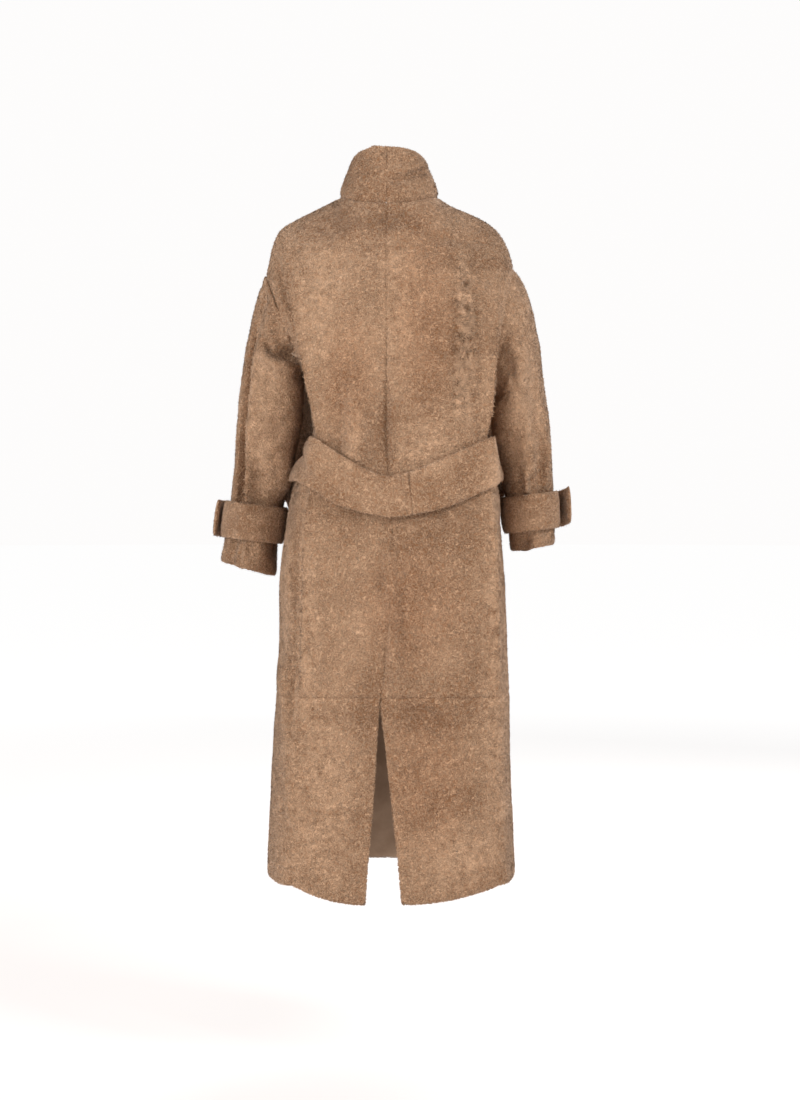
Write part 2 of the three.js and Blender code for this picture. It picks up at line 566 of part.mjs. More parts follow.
// Turns the faces round if they face in
function facingOut(geometry) {
  const place = geometry.getAttribute("position");
  const index = geometry.getIndex();
  const corner = (k) => new THREE.Vector3().fromBufferAttribute(place, index.getX(k));
  let volume = 0;
  for (let k = 0; k < index.count; k += 3) volume += corner(k).dot(corner(k + 1).cross(corner(k + 2)));
  if (volume < 0) {
    for (let k = 0; k < index.count; k += 3) {
      const second = index.getX(k + 1);
      index.setX(k + 1, index.getX(k + 2));
      index.setX(k + 2, second);
    }
  }
  geometry.computeVertexNormals();
  return geometry;
}

const inside = (s, by) => s.columns.map((column, i) => column.map((p, j) => moved(p, s.normals[i][j], -by)));
const panel = (s) => wallBetween(trim(s).columns, inside(s, WALL), s.closed);

// A strap or belt that lies on a sheet: full at its middle and rounded off at its long edges
const BAND_ROWS = [0, 0.12, 0.36, 0.64, 0.88, 1];
const BAND_FULLNESS = [0.3, 0.86, 1, 1, 0.86, 0.3];
function band(columns, normals, lifts, thick, ends) {
  const steps = columns.length - 1;
  const layer = (fullness) =>
    columns.map((column, i) =>
      column.map((p, j) => {
        const cap = Math.min(1, (i + ends.first) * 0.5 + 0.5, (steps - i + ends.last) * 0.5 + 0.5);
        const middle = lifts[i] + thick / 2;
        return moved(p, normals[i][j], middle + fullness * BAND_FULLNESS[j] * cap * (thick / 2));
      }),
    );
  return wallBetween(layer(1), layer(-1), false);
}

// The half belt across the back. q runs from -1 at the right side seam to 1 at the left one.
function beltPoint(q, down) {
  const side = q < 0 ? "right" : "left";
  const share = Math.abs(q);
  const middle = BELT.middleZ + BELT.rise * clamp(share / (FOLD + 0.02)) ** 1.5;
  const gone = smooth((share - BELT_SLANT.until) / (BELT_SLANT.gone - BELT_SLANT.until));
  const slant = 1 + BELT_SLANT.more * smooth(share / BELT_SLANT.from) * (1 - gone);
  const z = middle + BELT.height * slant * (0.5 - down);
  const along = share < FOLD ? share / FOLD : 1 + (share - FOLD) / (1 - FOLD);
  return backPoint(side, along, z, false);
}

function beltHalf(places) {
  const columns = [];
  const normals = [];
  const lifts = [];
  const step = 0.02;
  for (const q of places) {
    columns.push(BAND_ROWS.map((down) => beltPoint(q, down)));
    normals.push(
      BAND_ROWS.map((down) => {
        const across = beltPoint(q + step, down).sub(beltPoint(q - step, down));
        const drop = beltPoint(q, clamp(down, 0.1, 0.9) + 0.1).sub(beltPoint(q, clamp(down, 0.1, 0.9) - 0.1));
        return across.cross(drop).setZ(0).normalize();
      }),
    );
    const loose = mix(BELT.foldLift, BELT.lift, clamp((0.85 - Math.abs(q)) / 0.5));
    lifts.push(mix(SEAM_GAP, loose, clamp((BELT_END - Math.abs(q)) / 0.12)));
  }
  return { columns, normals, lifts };
}

// A strap round a cuff. It starts under its own end on the outer side, and its end stands off.
function cuffStrap(side) {
  const { outer, inner } = STRAP_AT[side];
  const steps = 30;
  const start = STRAP.start;
  const columns = [];
  const normals = [];
  const lifts = [];
  for (let i = 0; i <= steps; i++) {
    const degrees = start + ((360 + STRAP.overlap) * i) / steps;
    const past = degrees - (348 + start);
    const within = (1 - Math.cos(radians(degrees))) / 2;
    const top = mix(outer[0], inner[0], within);
    const bottom = mix(outer[1], inner[1], within);
    const upper = sleevePoint(side, top, degrees, false);
    const lower = sleevePoint(side, bottom, degrees, false);
    const middle = sleevePoint(side, (top + bottom) / 2, 0, false)
      .add(sleevePoint(side, (top + bottom) / 2, 180, false))
      .divideScalar(2);
    const out = upper.clone().lerp(lower, 0.5).sub(middle).setZ(0);
    out.set(out.x * 1.6, out.y * 0.9, 0).normalize();
    const length = upper.distanceTo(lower);
    const fit = (STRAP.height / length - 1) / 2;
    const tab = clamp((i - steps + 3) / 3) ** 1.4;
    const rise = point(0, 0, STRAP_TAB.rise[side] * tab);
    columns.push(BAND_ROWS.map((down) => upper.clone().lerp(lower, mix(-fit, 1 + fit, down)).add(rise)));
    normals.push(BAND_ROWS.map(() => out.clone()));
    const over = (STRAP.thick + 1.2) * smooth(past / 20);
    const rises = [top, (top + bottom) / 2, bottom].map((along) =>
      sleevePoint(side, along, degrees).sub(sleevePoint(side, along, degrees, false)).dot(out),
    );
    lifts.push(STRAP.lift + Math.max(0, ...rises) + over + STRAP_TAB.flare[side] * tab);
  }
  return { columns, normals, lifts };
}

const coat = new THREE.Group();
const wool = new THREE.MeshStandardMaterial({ color: 0xa6846a, roughness: 0.95, metalness: 0 });
const deepWool = new THREE.MeshStandardMaterial({ color: 0x99785d, roughness: 0.95, metalness: 0 });

function add(name, geometry, material = wool) {
  const mesh = new THREE.Mesh(geometry, material);
  mesh.name = name;
  coat.add(mesh);
}

const torso = point(0, 0, -300);
const sheets = {};
for (const side of ["left", "right"]) {
  const arm = sleevePoint(side, 0.5, 0).add(sleevePoint(side, 0.5, 180)).divideScalar(2);
  sheets[side] = {
    back: sheet(backColumns(side), torso),
    front: sheet(frontColumns(side), torso),
    sleeve: sheet(sleeveColumns(side), arm, true),
    collar: sheet(collarColumns(side), point(0, 0, 40)),
  };
}

weldNormals(Object.values(sheets).flatMap(Object.values));
for (const side of ["left", "right"]) {
  const { back, front, sleeve } = sheets[side];
  const middle = armholePoint(side, 0).add(armholePoint(side, 180)).divideScalar(2);
  const openOut = (p, n) => n.multiplyScalar(0.5).add(p.clone().sub(middle).normalize()).normalize();
  for (let j = 0; j <= ARM_ROWS; j++) {
    openOut(back.columns.at(-1)[j], back.normals.at(-1)[j]);
    openOut(front.columns[0][j], front.normals[0][j]);
  }
  sleeve.columns.forEach((column, i) => openOut(column[0], sleeve.normals[i][0]));
}

for (const side of ["left", "right"]) {
  const { back, front, sleeve, collar } = sheets[side];
  const yoke = ARM_ROWS + SKIRT_ROWS;
  add(`back_${side}`, panel(cut(back, 0, yoke)));
  add(`back_skirt_${side}`, panel(cut(back, yoke, yoke + HEM_ROWS)), deepWool);
  add(`front_${side}`, panel(front));
  add(`sleeve_${side}`, panel(sleeve));
  add(`collar_${side}`, panel(collar), deepWool);
  const strap = cuffStrap(side);
  const ends = { first: 0, last: 0 };
  add(`cuff_strap_${side}`, band(strap.columns, strap.normals, strap.lifts, STRAP.thick, ends));
}

// The belt's two halves meet at a seam a little to the right of the centre back
const seamHalf = 0.001;
const beltLeft = beltHalf([BELT.seamShare + seamHalf, 0, ...BELT_SHARES]);
const rightShares = BELT_SHARES.filter((share) => share > 0.05 - BELT.seamShare).map((share) => -share);
const beltRight = beltHalf([...rightShares.reverse(), BELT.seamShare - seamHalf]);
add("belt_left", band(beltLeft.columns, beltLeft.normals, beltLeft.lifts, BELT.thick, { first: 1, last: 0 }));
const { columns, normals, lifts } = beltRight;
add("belt_right", band(columns, normals, lifts, BELT.thick, { first: 0, last: 1 }));

export default coat;
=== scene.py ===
# %% [markdown]
# # A long shearling coat, seen from behind
#
# Shearling is a sheepskin that keeps its wool. One skin is the whole wall of the coat: suede on
# the inside and clipped, slightly curly wool on the outside. This lesson builds the coat from the
# panels that a maker cuts and sews, then grows wool on them, and lights them as in a studio.
#
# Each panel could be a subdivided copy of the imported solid, or it could be made again from the
# pattern's own sizes. The second way is used here. It gives every panel its own grid of points,
# so creases, seams, rounded edges and wool can all be placed in the coat's own measures.

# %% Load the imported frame
import math

import bmesh
import bpy
import numpy as np
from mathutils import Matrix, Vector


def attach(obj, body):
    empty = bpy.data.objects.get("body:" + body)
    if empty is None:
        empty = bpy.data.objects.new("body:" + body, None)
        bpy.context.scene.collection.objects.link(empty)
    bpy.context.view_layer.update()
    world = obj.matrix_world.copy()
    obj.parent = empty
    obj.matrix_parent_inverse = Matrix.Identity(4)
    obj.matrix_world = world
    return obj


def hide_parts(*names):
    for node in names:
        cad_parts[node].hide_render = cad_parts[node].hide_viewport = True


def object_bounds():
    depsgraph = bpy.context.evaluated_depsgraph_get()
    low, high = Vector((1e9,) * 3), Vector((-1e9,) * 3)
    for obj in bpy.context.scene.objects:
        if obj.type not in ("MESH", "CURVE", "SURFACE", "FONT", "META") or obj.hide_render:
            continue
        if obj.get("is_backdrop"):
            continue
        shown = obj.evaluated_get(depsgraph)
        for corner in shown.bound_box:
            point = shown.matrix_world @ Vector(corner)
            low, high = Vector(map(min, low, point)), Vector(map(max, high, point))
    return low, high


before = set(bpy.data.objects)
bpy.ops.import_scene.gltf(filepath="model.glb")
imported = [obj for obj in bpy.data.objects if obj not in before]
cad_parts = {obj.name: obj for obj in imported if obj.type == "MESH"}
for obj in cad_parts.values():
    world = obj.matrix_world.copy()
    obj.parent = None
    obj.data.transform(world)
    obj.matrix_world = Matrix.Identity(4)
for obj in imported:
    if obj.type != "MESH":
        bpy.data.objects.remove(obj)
CAD_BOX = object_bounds()
MM = 0.001
SIDES = ("left", "right")
OUT = {"left": 1, "right": -1}  # which way each side lies along X
print("nodes in the frame:", len(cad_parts))

# %% [markdown]
# ## The camera first
#
# The camera stands 3.5 m behind the coat, level, at the height of the waist. A long lens keeps
# the outline almost free of perspective. A small shift puts the horizon where it was in the
# picture without tilting the camera, so that upright lines stay upright.

# %% Camera
CAMERA_AWAY = 3.5
CAMERA_PLACE = (-0.018, CAMERA_AWAY, -0.54)
FRAME_HEIGHT = 1.9525  # metres seen from top to bottom at the coat
SENSOR = 36
HORIZON_SHIFT = -50 / 1100  # as a share of the frame's height

camera_data = bpy.data.cameras.new("camera")
camera_data.sensor_width = SENSOR
camera_data.lens = SENSOR * CAMERA_AWAY / FRAME_HEIGHT
camera_data.shift_y = HORIZON_SHIFT
camera = bpy.data.objects.new("camera", camera_data)
camera.location = CAMERA_PLACE
camera.rotation_euler = (math.radians(90), 0, math.radians(180))
bpy.context.scene.collection.objects.link(camera)
bpy.context.scene.camera = camera
print("lens", round(camera_data.lens, 1), "mm")

# %% [markdown]
# ## The pattern's sizes
#
# These are the coat's own measures in millimetres, the same as in the solid part. The body's
# table gives, level by level, the centre back seam, the fold where the back turns forward, how
# round that turn is, the trough beside the fold, and the side seam. Each sleeve has a table of
# stations down the arm.

# %% Sizes of the coat
WALL = 8  # skin and clipped wool together
SEAM_GAP = 0.5
CHEST_Z = -340
YOKE_SEAM_Z = -875
VENT_TOP_Z = -893
HEM_Z = {"back": -1226, "side": -1197, "front": -1204}
OVERLAP = 38
LAP_GAP = 3
TUCK = 4
HOLLOW = 9
FOLD = 0.64  # the belt's place at the fold, from its middle (0) to the side seam (1)
BACK_ROUND = 2.4  # how late the back turns forward on its way to the fold
DENT = {"at": 0.19, "wide": 0.16, "aside": 0.6, "inward": 0.8}  # the trough beside the fold
LAP_FROM = 0.66  # the share of the right front where it starts to lift over the left one
LAP_GROWS = 0.2
PAST_FRONT = 0.1  # the share past the centre front that stands for the whole overlap
FRONT_SQUARE = 0.8  # under 1 the front is squarer than an ellipse

BODY_COLUMNS = ("z", "cbX", "cbY", "ridgeX", "ridgeY", "corner", "dent", "side", "front")
BODY = {
    "left": [
        (-340, 6, 150, 147, 124, 0, 11, 144, 146),
        (-385, 6, 152, 136, 130, 0, 11, 141, 147),
        (-435, 6, 152, 125, 133, 0, 9, 142, 148),
        (-500, 2, 149, 133, 138, 0.5, 8, 170, 149),
        (-570, -4, 157, 146, 144, 0.9, 13, 183, 152),
        (-650, -3, 163, 151, 148, 1, 15, 194, 156),
        (-779, 6, 166, 154, 150, 1, 16, 199, 160),
        (-832, 11, 167, 156, 150, 1, 15, 195, 161),
        (YOKE_SEAM_Z, 15, 168, 157, 151, 1, 12, 202, 162),
        (VENT_TOP_Z, 16, 168, 157, 151, 1, 12, 203, 162),
        (-965, 21, 169, 160, 151, 1, 8, 208, 163),
        (-1050, 27, 170, 163, 151, 1, 3, 213, 164),
        (-1240, 41, 171, 168, 150, 1, 0, 219, 166),
    ],
    "right": [
        (-340, 6, 150, 183, 128, 0, 3, 161, 146),
        (-385, 6, 152, 179, 132, 0, 3, 161, 147),
        (-435, 6, 152, 169, 133, 0, 2, 166, 148),
        (-500, 2, 149, 173, 136, 0.5, 0, 190, 149),
        (-570, -4, 157, 177, 142, 0.9, 0, 197, 152),
        (-650, -3, 163, 178, 146, 1, 0, 204, 156),
        (-779, 6, 166, 180, 149, 1, 0, 209, 160),
        (-832, 11, 167, 181, 150, 1, 0, 211, 161),
        (YOKE_SEAM_Z, 15, 168, 182, 150, 1, 0, 212, 162),
        (VENT_TOP_Z, 16, 168, 182, 150, 1, 0, 213, 162),
        (-965, 7, 169, 183, 150, 1, 0, 213, 163),
        (-1050, -3, 170, 186, 150, 1, 0, 216, 164),
        (-1240, -21, 171, 190, 149, 1, 0, 224, 166),
    ],
}
# The shoulder seam as x and z, from the neck out to the sleeve
SHOULDER = {
    "left": [(89, -2), (125, -18), (160, -36), (192, -56), (208, -90), (221, -145)],
    "right": [(86, -1), (118, -20), (152, -34), (187, -58), (208, -89), (220, -128)],
}
SLEEVE_COLUMNS = ("outerX", "outerZ", "innerX", "innerZ", "midY", "half")
SLEEVE = {
    "left": [
        (221, -145, 150, -328, 0, 80),
        (234, -167, 152, -346, -3, 80),
        (245, -205, 153, -361, -7, 80),
        (255, -252, 154, -378, -12, 81),
        (264, -305, 156, -398, -18, 82),
        (271, -362, 161, -424, -25, 82),
        (277, -425, 170, -458, -33, 80),
        (281, -485, 178, -498, -40, 77),
        (288, -540, 190, -545, -46, 74),
        (294, -585, 199, -592, -50, 72),
        (300, -620, 202, -636, -53, 72),
        (306, -650, 203, -676, -55, 73),
    ],
    "right": [
        (220, -128, 174, -344, 0, 84),
        (235, -151, 176, -356, -3, 84),
        (251, -190, 178, -368, -7, 84),
        (263, -241, 179, -382, -12, 84),
        (273, -298, 181, -400, -19, 83),
        (282, -360, 184, -424, -28, 82),
        (288, -420, 189, -456, -37, 80),
        (292, -470, 197, -490, -44, 77),
        (294, -512, 204, -525, -50, 74),
        (296, -553, 209, -562, -54, 72),
        (298, -590, 213, -598, -57, 72),
        (298, -620, 215, -632, -59, 73),
    ],
}
# Folds down the sleeves: degrees round at the armhole and at the cuff, half width, the shares of
# the sleeve's length where it starts and ends, how high it stands, and for the tuck at the elbow
# how much its ends slant with the degrees, and how slowly it ends
SLEEVE_FOLDS = {
    "left": [
        (57, 70, 15, 0.02, 1.1, 5),
        (36, 46, 17, 0.02, 1.1, -17),
        (112, 112, 46, -0.2, 0.1, -10, 0.0025),
        (116, 116, 44, 0.115, 0.4, 11, 0.0025, 0.16),
        (292, 285, 22, 0.2, 0.75, -7),
    ],
    "right": [
        (40, 34, 14, 0.35, 0.95, 3),
        (66, 58, 16, 0.3, 0.95, -6),
        (132, 132, 34, -0.2, 0.24, -10),
        (140, 140, 40, 0.26, 0.5, 4),
        (292, 285, 22, 0.2, 0.75, -7),
    ],
}
FRONT_FOLDS = [(0.2, 0.12, 6), (0.42, 0.12, -7), (0.62, 0.12, 5)]  # place, width, height
FRONT_FOLDS_GROW = {"z": -540, "below": 260, "aside": 0.12}
FOLD_STARTS = 0.06  # the share of a sleeve over which a fold rises
FOLD_ENDS = 0.05
# The fold before the arm: place, half width, how far it stands out, and forwards, and its top
ARM_FOLD = {"at": 0.46, "wide": 0.2, "out": 58, "ahead": 14, "left": -285, "right": -315}
ARM_FOLD_GROWS = 70
ARM_FOLD_HIP = {"z": -612, "above": 100, "left": 0.35}
ARM_FOLD_END = {"z": -800, "above": 160}
# How the cloth leaves the neck and shoulder seams, and comes into the chest's level
NECK_FALL = (0, 24, -42)
TIP_FALL = (24, 78, -28)
FOLD_FALL = {"left": (13, 60, -26), "right": (18, 60, -28)}
CHEST_FALL = 130
FOLD_CHEST_FALL = {"left": (23, 138), "right": (9, 138)}
FRONT_FALL = {"end": (-75, -20), "shoulder": (-62, -12), "neck": (-32, -46), "chest": 120}
NECK = {"back": 76, "backZ": -22, "front": 86, "frontZ": -72}
COLLAR = {"back": 103, "side": 64, "front": 54, "leanBack": 17, "leanSide": 24, "curve": 1.35}
COLLAR_BULGE = 1.5
COLLAR_SPREAD = 22
BELT = {"height": 73, "thick": 12, "lift": 6, "foldLift": 2.4, "middleZ": -534, "rise": 62}
# where it slants, a level cut through it is longer by this share
BELT_SLANT = {"from": 0.45, "until": 0.62, "gone": 0.82, "more": 0.21}
BELT_SEAM = -0.13
BELT_END = 0.95
STRAP = {"height": 68, "thick": 9, "lift": 0.9, "start": -28, "overlap": 42}
STRAP_FLARE = {"left": 4, "right": 12}
STRAP_RISE = {"left": 2, "right": 9}
# Each strap's upper and lower edge, as shares of the sleeve's length, outside and inside the arm
STRAP_AT = {
    "left": ((0.724, 0.875), (0.735, 0.881)),
    "right": ((0.752, 0.905), (0.762, 0.905)),
}

# %% [markdown]
# ## From sizes to smooth sections
#
# A table says only what happens at a few levels. A Catmull-Rom spline runs through its rows, so
# that the cloth between them is smooth and still has exactly the sizes that were written down.

# %% Small helpers for numbers


def mix(a, b, t):
    return a + (b - a) * t


def clamp(t, low=0.0, high=1.0):
    return np.clip(t, low, high)


def smooth(t):
    t = np.clip(t, 0.0, 1.0)
    return t * t * (3 - 2 * t)


def bump(distance, wide):
    return np.exp(-((distance / wide) ** 2))


def unit(v):
    return v / np.maximum(np.linalg.norm(v, axis=-1, keepdims=True), 1e-9)


def point(x, y, z):
    return np.array([x, y, z], float)


def cubic(start, end, leaves, arrives, t):
    """A curve from start to end that has the given slopes there."""
    rest = end - start
    bend = (3 * rest - 2 * leaves - arrives) * t**2
    return start + leaves * t + bend + (leaves + arrives - 2 * rest) * t**3


def spline(rows, places, straight_ends=True):
    """The rows of an array at places between them, on a smooth curve along the first axis."""
    rows = np.asarray(rows, float)
    first = 2 * rows[:1] - rows[1:2] if straight_ends else rows[:1]
    last = 2 * rows[-1:] - rows[-2:-1] if straight_ends else rows[-1:]
    padded = np.concatenate([first, rows, last])
    places = np.clip(np.asarray(places, float), 0, len(rows) - 1)
    i = np.minimum(places.astype(int), len(padded) - 4)
    t = (places - i).reshape(places.shape + (1,) * (rows.ndim - 1))
    a, b, c, d = (padded[i + k] for k in range(4))
    return cubic(b, c, (c - a) / 2, (d - b) / 2, t)


def body_at(side, z):
    """The body's sizes at levels z, each an array of z's shape."""
    table = np.array(BODY[side], float)
    place = np.interp(-np.asarray(z, float), -table[:, 0], np.arange(len(table)))
    found = spline(table, np.atleast_1d(place), straight_ends=False)
    return dict(zip(BODY_COLUMNS, found.T))


def back_point(side, along, z, dented=True):
    """The back half of the body: along 0 is the centre back seam, 1 the fold, 2 the side seam."""
    row = body_at(side, z)
    near = clamp(along)
    inner_x = mix(row["cbX"], OUT[side] * row["ridgeX"], near)
    inner_y = mix(row["cbY"], row["ridgeY"], near**BACK_ROUND)
    t = clamp(along - 1)
    turn = t * math.pi / 2
    dent = row["dent"] * bump(t - DENT["at"], DENT["wide"]) if dented else 0
    x = mix(row["ridgeX"], row["side"], mix(t, np.sin(turn), row["corner"])) - dent * DENT["aside"]
    y = row["ridgeY"] * mix(1 - t, np.cos(turn), row["corner"]) - dent * DENT["inward"]
    x = np.where(along > 1, OUT[side] * x, inner_x)
    y = np.where(along > 1, y, inner_y)
    return np.stack([x, y, z + 0 * x], -1)


def lap_lift(side, share):
    return (WALL + LAP_GAP) * smooth((share - LAP_FROM) / LAP_GROWS) if side == "right" else 0 * share


def tuck(side, share):
    return TUCK * clamp((share - 1) / PAST_FRONT) if side == "left" else 0 * share


def arm_fold(side, share, z):
    """How full the fold before the arm is, 0 to 1."""
    grows = smooth((ARM_FOLD[side] - z) / ARM_FOLD_GROWS)
    hip = mix(ARM_FOLD_HIP["left"], 1, smooth((z - ARM_FOLD_HIP["z"]) / ARM_FOLD_HIP["above"]))
    end = smooth((z - ARM_FOLD_END["z"]) / ARM_FOLD_END["above"])
    levels = grows * hip * end
    return smooth(share / ARM_FOLD["at"]) * levels * bump(share - ARM_FOLD["at"], ARM_FOLD["wide"])


def front_point(side, share, z):
    """The front half: share 0 is the side seam and 1 the centre front, the overlap is past 1."""
    row = body_at(side, z)
    turn = clamp(share) * math.pi / 2
    grow = FRONT_FOLDS_GROW
    fade = smooth((grow["z"] - z) / grow["below"]) * smooth(share / grow["aside"])
    fold = sum(height * fade * bump(share - at, wide) for at, wide, height in FRONT_FOLDS)
    x = (row["side"] + fold) * np.cos(turn) ** FRONT_SQUARE
    x = x - OVERLAP * clamp((share - 1) / PAST_FRONT)
    y = -(row["front"] + fold) * np.sin(turn) ** FRONT_SQUARE
    y = y - lap_lift(side, share) + tuck(side, share)
    arm = arm_fold(side, share, z)
    x = OUT[side] * (x + ARM_FOLD["out"] * arm)
    return np.stack([x, y - ARM_FOLD["ahead"] * arm, z + 0 * x], -1)


def sleeve_point(side, along, degrees, folded=True):
    """A sleeve: along runs from 0 to 1, degrees from the outer side (0) over the back (90)."""
    along, degrees = np.broadcast_arrays(np.asarray(along, float), np.asarray(degrees, float))
    table = np.array(SLEEVE[side], float)
    flat = spline(table, np.clip(along.ravel(), 0, 1) * (len(table) - 1), straight_ends=False)
    row = dict(zip(SLEEVE_COLUMNS, flat.T.reshape((len(SLEEVE_COLUMNS),) + along.shape)))
    turn = np.radians(degrees)
    outer = np.stack([OUT[side] * row["outerX"], row["midY"], row["outerZ"]], -1)
    inner = np.stack([OUT[side] * row["innerX"], row["midY"], row["innerZ"]], -1)
    middle = (outer + inner) / 2
    p = middle + (outer - inner) / 2 * np.cos(turn)[..., None]
    p[..., 1] += row["half"] * np.sin(turn)
    if not folded:
        return p
    height = 0
    for at, at_cuff, wide, start, end, high, *rest in SLEEVE_FOLDS[side]:
        slant, tail = (rest + [FOLD_ENDS])[:2] if rest else (0, FOLD_ENDS)
        here = along + slant * (degrees - at)
        fade = smooth((here - start) / FOLD_STARTS + 0.5) * smooth((end - here) / tail + 0.5)
        height = height + high * fade * bump(degrees - mix(at, at_cuff, along), wide)
    return p + unit(p - middle) * (height * smooth(along / FOLD_STARTS))[..., None]


print("cuff of the left sleeve at", np.round(sleeve_point("left", 1.0, 0.0), 1), "mm")

# %% [markdown]
# ## The upper body
#
# Between the shoulders and the chest the cloth hangs in curves, not in level sections. Each
# column of the panel is one Bezier curve. It leaves the seam above in its own direction and comes
# into the chest's level from straight above. The rows are matched to the armhole's height, so
# that sleeve and body meet point by point.

# %% Columns of the panels
NECK_STEPS = 4
SEAM_STEPS = 8
RIDGE_STEP = 4
BACK_COLUMNS = NECK_STEPS + SEAM_STEPS
RIDGE_COLUMN = NECK_STEPS + RIDGE_STEP
FRONT_COLUMNS = SEAM_STEPS + NECK_STEPS + 1
CF_COLUMN = FRONT_COLUMNS - 1
ARM_ROWS = 12
SKIRT_LEVELS = (-390, -432, -475, -520, -575, -640, -715, -795, YOKE_SEAM_Z)
HEM_ROWS = 6
YOKE_ROW = ARM_ROWS + len(SKIRT_LEVELS)
BACK_ANGLES = (0, 14, 27, 39, 51, 63, 76, 90, 106, 123, 141, 160, 180)
SHOULDER_SHARES = (0, 0.14, 0.28, 0.42, 0.55, 0.66, 0.77, 0.89, 1)
RIDGE_SHARES = (0, 0.14, 0.29, 0.45, 0.6, 0.74, 0.86, 0.95, 1)
TURN_SHARES = (0, 0.16, 0.4, 0.7, 1)
SEAM_POINTS = 41  # on each part of the shoulder seam
FALL_POINTS = 301  # on each column's curve
NECK_ROUND = 0.9
NECK_DIP = 1.6
LEVEL_CURVE = 1.6
DENT_GROWS = 0.45  # the share of the way down over which the trough beside the fold grows


def shoulder_line(side):
    """Points of the shoulder seam at SHOULDER_SHARES of its length."""
    p = np.array([(OUT[side] * x, 0, z) for x, z in SHOULDER[side]], float)
    padded = np.concatenate([2 * p[:1] - p[1:2], p, 2 * p[-1:] - p[-2:-1]])
    fine = []
    for i in range(len(p) - 1):
        a, b, c, d = padded[i : i + 4]
        da, db, dc = (math.sqrt(np.linalg.norm(q - r)) for q, r in ((b, a), (c, b), (d, c)))
        slope_b = ((b - a) / da - (c - a) / (da + db) + (c - b) / db) * db
        slope_c = ((c - b) / db - (d - b) / (db + dc) + (d - c) / dc) * db
        fine.append(cubic(b, c, slope_b, slope_c, np.linspace(0, 1, SEAM_POINTS)[:, None]))
    line = np.concatenate(fine)
    length = np.concatenate([[0], np.cumsum(np.linalg.norm(np.diff(line, axis=0), axis=1))])
    wanted = np.array(SHOULDER_SHARES) * length[-1]
    return np.stack([np.interp(wanted, length, line[:, k]) for k in range(3)], -1)


def neck_point(side, share):
    """Half the neck: share 0 is the centre back, 1 the shoulder seam, 2 the centre front."""
    tip_x, tip_z = SHOULDER[side][0]
    turn = share * math.pi / 2
    back = share <= 1
    drop = NECK["backZ"] if back else NECK["frontZ"]
    x = OUT[side] * tip_x * math.sin(turn) ** NECK_ROUND + BODY[side][0][1] * clamp(1 - share)
    y = (NECK["back"] if back else NECK["front"]) * math.cos(turn)
    y = y - lap_lift(side, np.float64(share - 1))
    return point(x, y, mix(tip_z, drop, abs(math.cos(turn)) ** NECK_DIP))


def fall(top, out, up, low):
    """A curve down from top, first along out, that comes into low from the side of up."""
    t = np.linspace(0, 1, FALL_POINTS)[:, None]
    a, b, c, d = top, top + out, low + up, low
    curve = a * (1 - t) ** 3 + 3 * b * t * (1 - t) ** 2 + 3 * c * t**2 * (1 - t) + d * t**3
    order = curve[::-1]
    return lambda z: np.array([np.interp(z, order[:, 2], order[:, k]) for k in range(3)])


def armhole_point(side, degrees):
    return sleeve_point(side, 0.0, float(degrees), False)


def level_beside(side, degrees, top, low, even):
    """The level of a column's point beside the armhole's point at these degrees."""
    high, deep, z = (armhole_point(side, turn)[2] for turn in (0, 180, degrees))
    down = (high - z) / (high - deep)
    beside = z + (top - high) * (1 - down) ** LEVEL_CURVE + (low - deep) * down**LEVEL_CURVE
    return mix(beside, mix(top, low, degrees / 180), even)


def levels(side, lean, end_hem):
    """Levels from the chest to the hem. lean is 0 at the centre and 1 at the side seam."""
    underarm = SLEEVE[side][0][3] - CHEST_Z
    found = [z + underarm * lean**2 * clamp(1 - (i + 1) / 3) for i, z in enumerate(SKIRT_LEVELS)]
    hem = mix(end_hem, HEM_Z["side"], clamp(2 * lean) ** 2)
    return found + [mix(VENT_TOP_Z, hem, i / (HEM_ROWS - 1)) for i in range(HEM_ROWS)]


print("shoulder seam from", shoulder_line("left")[0].round(), "to", shoulder_line("left")[-1].round())

# %% [markdown]
# ## Nets of the back, front and collar
#
# A net holds a panel's coarse points, column by column. The back's columns run from the centre
# back seam over the fold to the armhole. The front's run from the armhole to the front edge. The
# collar rises from the neck, leans inward and narrows upward.

# %% The back's net


